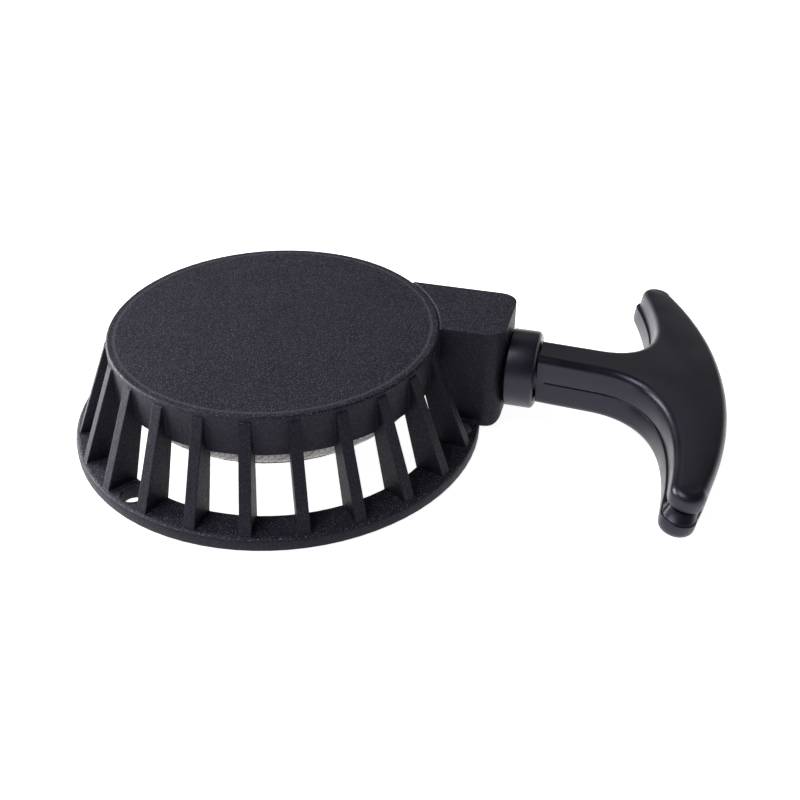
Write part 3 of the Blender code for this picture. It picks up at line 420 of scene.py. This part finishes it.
@dataclass(frozen=True)
class Metal:
    """Bare or plated metal with fine brushing and stain."""

    name: str
    shade: tuple[float, float, float]
    roughness: float
    grain: float = 1400.0
    stain: tuple[float, float, float] = (0.42, 0.40, 0.36)

    def make(self) -> bpy.types.Material:
        """Build the material.

        Returns:
            The finish.
        """
        bench = ShaderBench(self.name)
        where = bench.place()
        brush = bench.node("Mapping")
        brush.inputs["Scale"].default_value = (1.0, 1.0, 7.0)
        bench.join(where, brush.inputs["Vector"])
        lines = bench.noise(brush.outputs["Vector"], self.grain, 3.0)
        patch = bench.noise(where, 160.0, 4.0)
        colour = bench.blend(bench.ramp(patch, 0.52, 0.75, 0.0, 0.6), self.shade, self.stain)
        bench.join(colour, bench.surface.inputs["Base Color"])
        bench.set("Metallic", 1.0)
        brushed = bench.ramp(lines, 0.3, 0.7, -0.06, 0.08)
        stained = bench.ramp(patch, 0.4, 0.7, self.roughness, self.roughness + 0.12)
        rough = bench.math("ADD", brushed, stained)
        bench.join(rough, bench.surface.inputs["Roughness"])
        bench.relief(lines, 0.00001, 0.00015, 0.5)
        return bench.material


@dataclass(frozen=True)
class FilledNylon:
    """Dark grey glass-filled nylon of the reel, with a cloudy tone."""

    name: str = "filled_nylon"
    shade: tuple[float, float, float] = (0.030, 0.030, 0.034)

    def make(self) -> bpy.types.Material:
        """Build the material.

        Returns:
            The finish.
        """
        bench = ShaderBench(self.name)
        where = bench.place()
        flow = bench.noise(where, 220.0, 5.0)
        fine = bench.noise(where, 3000.0, 2.0)
        colour = bench.blend(bench.ramp(flow, 0.35, 0.7), self.shade, tuple(c * 1.8 for c in self.shade))
        bench.join(colour, bench.surface.inputs["Base Color"])
        bench.join(bench.ramp(flow, 0.3, 0.7, 0.42, 0.62), bench.surface.inputs["Roughness"])
        bench.relief(fine, 0.00003, 0.0003, 0.6)
        return bench.material


@dataclass(frozen=True)
class PaleFloor:
    """Bright matt studio sheet that glows a little, like a light table."""

    name: str = "pale_floor"
    shade: tuple[float, float, float] = (0.86, 0.86, 0.86)
    glow: float = 0.92

    def make(self) -> bpy.types.Material:
        """Build the material.

        Returns:
            The finish.
        """
        bench = ShaderBench(self.name)
        tooth = bench.noise(bench.place(), 40.0, 2.0)
        colour = bench.blend(tooth, self.shade, tuple(c * 0.985 for c in self.shade))
        bench.join(colour, bench.surface.inputs["Base Color"])
        bench.set("Roughness", 0.9)
        bench.set("Specular IOR Level", 0.1)
        bench.set("Emission Color", (1.0, 1.0, 1.0, 1.0))
        bench.set("Emission Strength", self.glow)
        return bench.material


# ---- mesh bench ----------------------------------------------------------------
def polar(radius: float, degrees: float) -> tuple[float, float]:
    """Point at a radius and an angle."""
    angle = math.radians(degrees)
    return radius * math.cos(angle), radius * math.sin(angle)


def solid(name: str, points: list[Point], faces: list[list[int]], sharp: float = 40.0) -> bpy.types.Object:
    """Closed smooth-shaded mesh object.

    Args:
        name: name of the object.
        points: vertices in millimetres.
        faces: vertex indices of each face.
        sharp: angle in degrees above which an edge stays sharp.

    Returns:
        The linked object, in metres.
    """
    mesh = bpy.data.meshes.new(name)
    mesh.from_pydata([tuple(c * MM for c in p) for p in points], [], faces)
    work = bmesh.new()
    work.from_mesh(mesh)
    bmesh.ops.recalc_face_normals(work, faces=work.faces)
    work.to_mesh(mesh)
    work.free()
    for face in mesh.polygons:
        face.use_smooth = True
    mesh.set_sharp_from_angle(angle=math.radians(sharp))
    made = bpy.data.objects.new(name, mesh)
    bpy.context.scene.collection.objects.link(made)
    return made


def dress(item: bpy.types.Object, finish: bpy.types.Material) -> None:
    """Give every part of an object one material."""
    item.data.materials.clear()
    item.data.materials.append(finish)


def turned(name: str, profile: list[tuple[float, float]], place: Matrix, sides: int) -> bpy.types.Object:
    """Solid of revolution.

    Args:
        name: name of the object.
        profile: closed (radius, height) outline in millimetres.
        place: transform from the turning axis Z to the assembly, in millimetres.
        sides: points round the axis.

    Returns:
        The turned piece.
    """
    points: list[Point] = []
    for radius, height in profile:
        for s in range(sides):
            x, y = polar(radius, 360.0 * s / sides)
            points.append(tuple(place @ Vector((x, y, height))))
    count = len(profile)
    faces: list[list[int]] = []
    for j in range(count):
        a, b = j * sides, ((j + 1) % count) * sides
        faces += [[a + s, a + (s + 1) % sides, b + (s + 1) % sides, b + s] for s in range(sides)]
    return solid(name, points, faces, 35.0)


def rope_tube(name: str, path: list[Point], radius: float, sides: int = 16) -> bpy.types.Object:
    """Round cord along a path, with its lay stored for the weave.

    Args:
        name: name of the object.
        path: centreline points in millimetres.
        radius: radius in millimetres.
        sides: points round the cord.

    Returns:
        The cord.
    """
    line = [Vector(p) for p in path]
    points: list[Point] = []
    lay: list[float] = []
    length = 0.0
    normal = Vector((0.0, 0.0, 1.0))
    for i, spot in enumerate(line):
        if i:
            length += (spot - line[i - 1]).length
        along = (line[min(i + 1, len(line) - 1)] - line[max(i - 1, 0)]).normalized()
        normal = (normal - along * normal.dot(along)).normalized()
        other = along.cross(normal)
        for s in range(sides):
            angle = 2.0 * math.pi * s / sides
            points.append(tuple(spot + (normal * math.cos(angle) + other * math.sin(angle)) * radius))
            lay += [length * MM, s / sides, 0.0]
    faces = [list(range(sides))[::-1], [len(points) - sides + s for s in range(sides)]]
    for i in range(len(line) - 1):
        a = i * sides
        for s in range(sides):
            t = (s + 1) % sides
            faces.append([a + s, a + t, a + sides + t, a + sides + s])
    made = solid(name, points, faces, 60.0)
    stored = made.data.attributes.new("rope_lay", "FLOAT_VECTOR", "POINT")
    stored.data.foreach_set("vector", lay)
    return made


# ---- rope ------------------------------------------------------------------------
@dataclass
class Rope:
    """Starter cord: wound on the reel, led to the eyelet and tied in the grip."""

    radius: float = 1.8
    turns: int = 4
    outer: float = 43.2
    spacing: float = 3.8
    height: float = 17.4
    outlet: Point = (68.5, 22.5, 17.5)
    led_end: float = 73.0
    lead_end: float = 9.8
    wound: bpy.types.Material = field(default=None, repr=False)
    drawn: bpy.types.Material = field(default=None, repr=False)

    def leave_angle(self) -> float:
        """Angle at which the cord leaves the reel, in degrees.

        Returns:
            The angle about the reel's axis.
        """
        reach = self.outlet[0] - 4.0
        lean = math.degrees(math.atan2(self.outlet[1], reach))
        return lean + math.degrees(math.acos(self.outer / math.hypot(reach, self.outlet[1])))

    def turn_radius(self, turned: float) -> float:
        """Radius of the cord after an angle of turns.

        Args:
            turned: angle in degrees from where the cord leaves.

        Returns:
            The radius in millimetres.
        """
        layer = int(turned // 360.0)
        step = min(max((turned - 360.0 * layer - 300.0) / 60.0, 0.0), 1.0)
        return self.outer - self.spacing * (layer + step * step * (3.0 - 2.0 * step))

    def build_winding(self) -> bpy.types.Object:
        """Wind the cord on the reel, outer turn first.

        Returns:
            The wound cord.
        """
        start = self.leave_angle()
        total = 360.0 * (self.turns - 1) + 296.0
        path: list[Point] = []
        steps = 90 * self.turns
        for i in range(steps + 1):
            turned = 1.0 + (total - 1.0) * i / steps
            x, y = polar(self.turn_radius(turned), start + turned)
            path.append((x, y, self.height))
        inner = self.outer - self.spacing * (self.turns - 1) - self.radius
        for drop, extra in ((0.1, 5.0), (1.9, 4.0), (2.9, 4.0)):
            x, y = polar(inner - drop, start + total + extra)
            path.append((x, y, self.height))
        made = rope_tube("wound_cord", path, self.radius)
        dress(made, self.wound)
        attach(made, Body.REEL.value)
        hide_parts("rope_winding")
        return made

    def build_feed(self) -> bpy.types.Object:
        """Lead the cord from the reel into the eyelet.

        Returns:
            The led cord.
        """
        angle = self.leave_angle()
        x, y = polar(self.outer, angle)
        dx, dy = polar(1.0, angle - 90.0)
        start = Vector((x + 0.5 * dx, y + 0.5 * dy, self.height))
        end = Vector((self.outlet[0] - 3.6, self.outlet[1], self.outlet[2]))
        path = [tuple(start.lerp(end, i / 24)) for i in range(24)]
        path.append((self.outlet[0] - 2.6, self.outlet[1] - 0.05, self.outlet[2]))
        path.append((self.outlet[0] - 1.4, self.outlet[1], self.outlet[2]))
        path.append((self.led_end - 3.2, self.outlet[1], self.outlet[2]))
        made = rope_tube("led_cord", path, self.radius)
        dress(made, self.wound)
        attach(made, Body.HOUSING.value)
        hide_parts("rope_feed")
        return made

    def build_lead(self, place: Matrix) -> bpy.types.Object:
        """Stretch of cord that the grip draws out.

        Args:
            place: transform from the handle's own frame, in millimetres.

        Returns:
            The cord, running from the housing and turning into the handle's line.
        """
        x, y, z = self.outlet
        path: list[Point] = [(x + 0.8 + 0.4 * i, y, z) for i in range(4)]
        for i in range(31):
            t = i / 30
            path.append(tuple(place @ Vector((-5.2 + (self.lead_end + 5.2) * t, 0.0, 0.0))))
        made = rope_tube("drawn_cord", path, self.radius)
        dress(made, self.drawn)
        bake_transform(made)
        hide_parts("rope_lead")
        return made


# ---- grip ------------------------------------------------------------------------
@dataclass
class Grip:
    """Two-shell T-grip: neck, curved bar and the groove round its back."""

    seat: Point = (77.0, 22.7, 17.0)
    mouth: float = 78.3
    yaw: float = 8.4
    droop: float = 7.6
    neck_start: float = -1.5
    neck_end: float = 19.3
    upper_length: float = 59.6
    lower_length: float = 62.0
    far_length: float = 58.6
    far_from: float = 25.0
    thickness: float = 17.0
    tip_thickness: float = 13.0
    back: float = 57.1
    back_radius: float = 145.0
    neck_half: float = 6.4
    tip_radius: float = 5.0
    edge: float = 2.6
    groove_half: float = 1.5
    parting_gap: float = 0.06
    web_gap: float = 0.05
    web_rise: float = 1.3
    web_root: float = 3.4
    side_steps: int = 34
    tip_steps: int = 16
    finish: bpy.types.Material = field(default=None, repr=False)

    def place(self) -> Matrix:
        """Transform from the handle's own frame, in millimetres.

        Returns:
            The transform to the assembly.
        """
        yaw = Matrix.Rotation(math.radians(self.yaw), 4, "Z")
        droop = Matrix.Rotation(math.radians(self.droop), 4, "Y")
        return Matrix.Translation(self.seat) @ yaw @ droop

    def back_edge(self, b: float) -> float:
        """Outer curve of the bar."""
        return self.back - self.back_radius + math.sqrt(self.back_radius**2 - b * b)

    def half_plan(self, length: float) -> tuple[list[tuple[float, float]], list[tuple[float, float]]]:
        """Plan of the +Y half.

        Args:
            length: distance from the middle line to the tip.

        Returns:
            The side from neck to tip, and the round tip.
        """
        tip_b = length - self.tip_radius
        tip_a = self.back_edge(tip_b) - self.tip_radius * 1.02
        neck = self.neck_end - self.neck_start
        side: list[tuple[float, float]] = []
        for i in range(8):
            t = i / 8
            side.append((self.neck_start + neck * t, self.neck_half - 0.3 + 0.5 * t))
        p0 = Vector((self.neck_end, self.neck_half + 0.2))
        p1 = Vector((self.neck_end + 14.7, self.neck_half + 0.9))
        p2 = Vector((self.neck_end + 23.7, 20.0))
        p3 = Vector((tip_a - self.tip_radius * 0.98, tip_b - 1.0))
        for i in range(self.side_steps + 1):
            t = i / self.side_steps
            u = 1.0 - t
            mix = p0 * u**3 + p1 * 3 * u * u * t + p2 * 3 * u * t * t + p3 * t**3
            side.append((mix.x, mix.y))
        tip: list[tuple[float, float]] = []
        for i in range(1, self.tip_steps):
            dx, dy = polar(self.tip_radius, 182.0 - 190.0 * i / self.tip_steps)
            tip.append((tip_a + dx, tip_b + dy))
        return side, tip

    def outline(self, inset: float, length: float) -> list[tuple[float, float]]:
        """Closed plan whose point i lies across the bar from its mirror.

        Args:
            inset: distance moved inwards from the rim.
            length: distance from the middle line to the tip.

        Returns:
            The plan points in millimetres.
        """
        side, tip = self.half_plan(length)
        across = [0.0, 0.5, 1.0, 1.5]
        for i, (_, b) in enumerate(side):
            across.append(1.8 + 0.55 * i if i < 8 else b)
        last = across[-1]
        room = length - self.tip_radius - last
        for i in range(len(tip)):
            across.append(last + room * (i + 1) / len(tip))
        back = [(self.back_edge(b), b) for b in across]
        front = side + tip
        chain = front + list(reversed(back))
        chain += [(a, -b) for a, b in back[1:]]
        chain += [(a, -b) for a, b in reversed(front)]
        moved: list[tuple[float, float]] = []
        for i, (x, y) in enumerate(chain):
            ax, ay = chain[max(i - 1, 0)]
            bx, by = chain[min(i + 1, len(chain) - 1)]
            size = math.hypot(bx - ax, by - ay)
            moved.append((x + inset * (by - ay) / size, y - inset * (bx - ax) / size))
        count = len(front)
        upper, lower, middle = moved[:count], moved[-count:], moved[count:-count]
        neck: list[tuple[float, float]] = []
        for i in range(1, 8):
            t = i / 8
            (ax, ay), (bx, by) = upper[0], lower[-1]
            neck.append((ax + (bx - ax) * t, ay + (by - ay) * t))
        return list(reversed(middle)) + list(reversed(upper)) + neck + list(reversed(lower))

    def crown(self, b: float) -> float:
        """Half thickness of the bar at a distance from its middle."""
        share = min(abs(b) / self.lower_length, 1.0)
        return self.thickness / 2 - (self.thickness - self.tip_thickness) / 2 * share * share

    def opening(self, a: float, b: float) -> float:
        """How far the groove is open at a place in the plan.

        Args:
            a: distance along the handle.
            b: distance from its middle line.

        Returns:
            0 at the neck and the finger side, 1 round the back and the tips.
        """
        by_back = (a - (self.back_edge(b) - 6.0)) / 1.5
        by_tip = (-b - self.upper_length * 0.86) / 1.5
        if b > 40.0:
            by_back = (a - (self.back_edge(b) - 3.0)) / 1.5
        share = min(max(by_back, by_tip, 0.0), 1.0)
        return share * share * (3.0 - 2.0 * share) if a > self.neck_end else 0.0

    def drawn_in(self, b: float, length: float) -> float:
        """Draw the +Y arm in, so that the tips of both halves are level there.

        Args:
            b: distance from the middle line.
            length: length of the half, from the middle line to its tip.

        Returns:
            The new distance from the middle line.
        """
        share = (self.far_length - self.far_from) / (length - self.far_from)
        return self.far_from + (b - self.far_from) * share if b > self.far_from else b

    def squared(self, a: float, b: float, z: float, place: Matrix) -> float:
        """Move a neck point so that the neck ends flat against the collar.

        Args:
            a: distance along the handle.
            b: distance from its middle line.
            z: height above the parting plane.
            place: transform to the assembly.

        Returns:
            The new distance along the handle.
        """
        share = min(max((a - self.neck_start) / 8.0, 0.0), 1.0)
        plane = (self.mouth - self.seat[0] - place[0][1] * b - place[0][2] * z) / place[0][0]
        return a + (plane - self.neck_start) * (1.0 - share) ** 2

    def skin(self, count: int, rings: int) -> list[list[int]]:
        """Faces round a stack of plan outlines, closed below and above.

        Args:
            count: points of one outline.
            rings: number of outlines.

        Returns:
            The vertex indices of each face.
        """
        faces: list[list[int]] = []
        for j in range(rings - 1):
            low, high = j * count, (j + 1) * count
            for i in range(count):
                k = (i + 1) % count
                faces.append([low + i, low + k, high + k, high + i])
        for base in (0, (rings - 1) * count):
            for i in range(count // 2 - 1):
                faces.append([base + i, base + i + 1, base + count - 2 - i, base + count - 1 - i])
        return faces

    def build_spigot(self) -> bpy.types.Object:
        """Round stub of the shells that rests in the collar.

        Returns:
            The spigot.
        """
        profile = [(2.15, -3.4), (5.6, -3.4), (6.2, -2.8), (6.2, 3.0), (2.15, 3.0)]
        made = turned("grip_spigot", profile, self.place() @ Matrix.Rotation(math.pi / 2, 4, "Y"), 48)
        dress(made, self.finish)
        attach(made, Body.HANDLE.value)
        return made

    def build_web(self) -> bpy.types.Object:
        """Slanted web between the halves that closes the groove.

        Returns:
            The web.
        """
        count = len(self.outline(0.0, self.upper_length))
        place = self.place()
        points: list[Point] = []
        for side, reach, length in ((-1.0, 3.0, self.lower_length), (1.0, 2.2, self.upper_length)):
            root = self.outline(self.web_root, length)
            rim = self.outline(self.web_root - reach, length)
            for (a0, b0), (a1, b1) in zip(root, rim):
                share = self.opening(a0, b0)
                a, b = a0 + (a1 - a0) * share, b0 + (b1 - b0) * share
                z = side * (self.web_gap + self.web_rise * share)
                level = self.drawn_in(b, length)
                points.append(tuple(place @ Vector((self.squared(a, b, z, place), level, z))))
        made = solid("grip_web", points, self.skin(count, 2), 40.0)
        dress(made, self.finish)
        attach(made, Body.HANDLE.value)
        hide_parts("grip_core")
        return made

    def build_shell(self, name: str, node: str, upper: bool) -> bpy.types.Object:
        """One moulded half, with its groove lip and rounded top.

        Args:
            name: name of the piece.
            node: CAD node that it stands for.
            upper: True for the upper half.

        Returns:
            The shell.
        """
        length = self.upper_length if upper else self.lower_length
        rim = self.outline(0.0, length)
        count = len(rim)
        rings: list[Ring] = []
        lip = self.groove_half - self.parting_gap
        low = [self.parting_gap + lip * self.opening(a, b) for a, b in rim]
        for inset, lift in ((3.2, 0.0), (0.3, 0.0), (0.09, 0.09), (0.0, 0.3)):
            rings.append([(a, b, z + lift) for (a, b), z in zip(self.outline(inset, length), low)])
        steps = 7
        for i in range(steps + 1):
            turn = math.pi / 2 * i / steps
            back = self.edge * (1.0 - math.cos(turn))
            ring = [
                (a, b, self.crown(b0) - self.edge * (1.0 - math.sin(turn)))
                for (a, b), (_, b0) in zip(self.outline(back, length), rim)
            ]
            rings.append(ring)
        flip = 1.0 if upper else -1.0
        place = self.place()
        points = [
            tuple(
                place
                @ Vector((self.squared(a, b, flip * z, place), self.drawn_in(b, length), flip * z))
            )
            for ring in rings
            for a, b, z in ring
        ]
        made = solid(name, points, self.skin(count, len(rings)), 50.0)
        dress(made, self.finish)
        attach(made, Body.HANDLE.value)
        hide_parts(node)
        return made


# ---- carried-over parts -------------------------------------------------------------
@dataclass
class Workshop:
    """Finishes the parts that keep their own shape."""

    nodes: dict[str, bpy.types.Object]
    bodies: dict[str, str]
    shared: dict[Slot, bpy.types.Material]
    crease: float = 32.0

    def finish(self, name: str, slot: Slot) -> bpy.types.Object:
        """Smooth one part's surface and give it its finish.

        Args:
            name: name of the part.
            slot: its material slot.

        Returns:
            The finished piece that stands for the part.
        """
        mesh = self.nodes[name].data.copy()
        mesh.name = name + "_finished"
        work = bmesh.new()
        work.from_mesh(mesh)
        bmesh.ops.remove_doubles(work, verts=work.verts, dist=1e-6)
        bmesh.ops.dissolve_limit(
            work, angle_limit=math.radians(0.4), verts=work.verts, edges=work.edges
        )
        work.to_mesh(mesh)
        work.free()
        if mesh.has_custom_normals:
            mesh.attributes.remove(mesh.attributes["custom_normal"])
        for face in mesh.polygons:
            face.use_smooth = True
        mesh.set_sharp_from_angle(angle=math.radians(self.crease))
        made = bpy.data.objects.new(mesh.name, mesh)
        bpy.context.scene.collection.objects.link(made)
        dress(made, self.shared[slot])
        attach(made, self.bodies[name])
        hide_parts(name)
        return made


# ---- studio ---------------------------------------------------------------------------
@dataclass
class Studio:
    """Camera, floor and soft light."""

    lens: float = 48.51
    shift: tuple[float, float] = (0.0208, 0.0015)
    stand: Point = (110.6, -262.7, 198.5)
    heading: float = 16.2
    tilt: float = 34.19
    roll: float = -0.47
    floor_radius: float = 4000.0
    sky_fade: tuple[float, float] = (0.02, 0.30)

    def build_camera(self) -> bpy.types.Object:
        """Set the camera where the starter is looked at from.

        Returns:
            The camera.
        """
        data = bpy.data.cameras.new("camera")
        data.lens = self.lens
        data.sensor_width = 36.0
        data.shift_x, data.shift_y = self.shift
        data.clip_start = 0.01
        data.clip_end = 50.0
        made = bpy.data.objects.new("camera", data)
        ahead = Vector((0.0, math.cos(math.radians(self.tilt)), -math.sin(math.radians(self.tilt))))
        right = Vector((1.0, 0.0, 0.0))
        up = right.cross(ahead)
        cosine, sine = math.cos(math.radians(self.roll)), math.sin(math.radians(self.roll))
        across = right * cosine + up * sine
        over = up * cosine - right * sine
        turn = Matrix.Rotation(math.radians(self.heading), 3, "Z")
        axes = Matrix((turn @ across, turn @ over, turn @ -ahead)).transposed()
        made.matrix_world = Matrix.Translation(Vector(self.stand) * MM) @ axes.to_4x4()
        bpy.context.scene.collection.objects.link(made)
        bpy.context.scene.camera = made
        return made

    def build_floor(self, finish: bpy.types.Material) -> bpy.types.Object:
        """Wide pale sheet under the starter.

        Args:
            finish: material of the sheet.

        Returns:
            The floor.
        """
        rings, sides = (0.0, 300.0, 1200.0, self.floor_radius), 48
        points: list[Point] = [(0.0, 0.0, 0.0)]
        for radius in rings[1:]:
            points += [(*polar(radius, 360.0 * s / sides), 0.0) for s in range(sides)]
        faces = [[0, 1 + s, 1 + (s + 1) % sides] for s in range(sides)]
        for j in range(len(rings) - 2):
            a = 1 + j * sides
            for s in range(sides):
                t = (s + 1) % sides
                faces.append([a + s, a + sides + s, a + sides + t, a + t])
        made = solid("floor", points, faces)
        dress(made, finish)
        made.location.z = -0.0002
        return made

    def build_lamp(self, name: str, spot: Point, aim: Point, size: float, power: float) -> bpy.types.Object:
        """Square soft box.

        Args:
            name: name of the lamp.
            spot: its place in millimetres.
            aim: point that it faces, in millimetres.
            size: side in millimetres.
            power: watts.

        Returns:
            The lamp.
        """
        data = bpy.data.lights.new(name, "AREA")
        data.shape = "SQUARE"
        data.size = size * MM
        data.energy = power
        made = bpy.data.objects.new(name, data)
        made.location = Vector(spot) * MM
        way = (Vector(aim) - Vector(spot)).normalized()
        made.rotation_euler = way.to_track_quat("-Z", "Y").to_euler()
        bpy.context.scene.collection.objects.link(made)
        return made

    def build_sky(self, low: float, high: float) -> None:
        """White surroundings, bright round the horizon and dim overhead.

        Args:
            low: strength at the horizon and below.
            high: strength overhead.
        """
        world = bpy.data.worlds.new("surroundings")
        world.use_nodes = True
        tree = world.node_tree
        back = tree.nodes["Background"]
        back.inputs["Color"].default_value = (1.0, 1.0, 1.0, 1.0)
        where = tree.nodes.new("ShaderNodeTexCoord")
        split = tree.nodes.new("ShaderNodeSeparateXYZ")
        fade = tree.nodes.new("ShaderNodeMapRange")
        horizon, overhead = self.sky_fade
        limits = {"From Min": horizon, "From Max": overhead, "To Min": low, "To Max": high}
        for key, value in limits.items():
            fade.inputs[key].default_value = value
        tree.links.new(where.outputs["Generated"], split.inputs[0])
        tree.links.new(split.outputs[2], fade.inputs["Value"])
        tree.links.new(fade.outputs["Result"], back.inputs["Strength"])
        bpy.context.scene.world = world


def main() -> None:
    """Build the studio, the rope, the grip and the finishes, in that order."""
    logging.basicConfig(level=logging.INFO, format="%(name)s: %(message)s")
    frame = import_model()
    bpy.context.scene.view_settings.view_transform = "Standard"

    studio = Studio()
    studio.build_camera()
    studio.build_floor(PaleFloor().make())
    studio.build_sky(0.95, 0.08)
    studio.build_lamp("key_box", (-250.0, -300.0, 850.0), (30.0, 0.0, 10.0), 500.0, 6.0)
    studio.build_lamp("back_box", (100.0, 700.0, 700.0), (40.0, 0.0, 20.0), 500.0, 0.4)
    studio.build_lamp("side_box", (-700.0, 100.0, 260.0), (60.0, 20.0, 10.0), 500.0, 14.0)
    LOG.info("studio ready")

    grip = Grip(finish=SatinPlastic().make())
    rope = Rope(wound=BraidedCord(Lay.WOUND).make(), drawn=BraidedCord(Lay.DRAWN).make())
    for piece in (rope.build_winding(), rope.build_feed(), rope.build_lead(grip.place())):
        LOG.info("rope piece %s", piece.name)
    for piece in (
        grip.build_shell("grip_upper_half", "grip_upper_shell", True),
        grip.build_shell("grip_lower_half", "grip_lower_shell", False),
        grip.build_spigot(),
        grip.build_web(),
    ):
        LOG.info("grip piece %s", piece.name)

    shared = {
        Slot.CAST: CastCoat().make(),
        Slot.GRIP: grip.finish,
        Slot.REEL: FilledNylon().make(),
        Slot.ROPE: rope.wound,
        Slot.ZINC: Metal("zinc_plate", (0.60, 0.60, 0.58), 0.30).make(),
        Slot.SPRING: Metal("blued_spring", (0.26, 0.28, 0.33), 0.26, stain=(0.20, 0.17, 0.15)).make(),
        Slot.BRONZE: Metal("sintered_bronze", (0.52, 0.34, 0.16), 0.42, stain=(0.30, 0.19, 0.09)).make(),
    }
    record = frame["record"]
    bodies = {node: body for body, members in record["behaviour"]["bodies"].items() for node in members}
    workshop = Workshop(frame["nodes"], bodies, shared)
    remade = {"rope_winding", "rope_feed", "rope_lead", "grip_upper_shell", "grip_lower_shell", "grip_core"}
    for entry in record["subparts"]:
        if entry["node"] not in remade:
            piece = workshop.finish(entry["node"], Slot(entry["material_slot"]))
            LOG.info("finished part %s", piece.name)


if __name__ == "__main__":
    main()
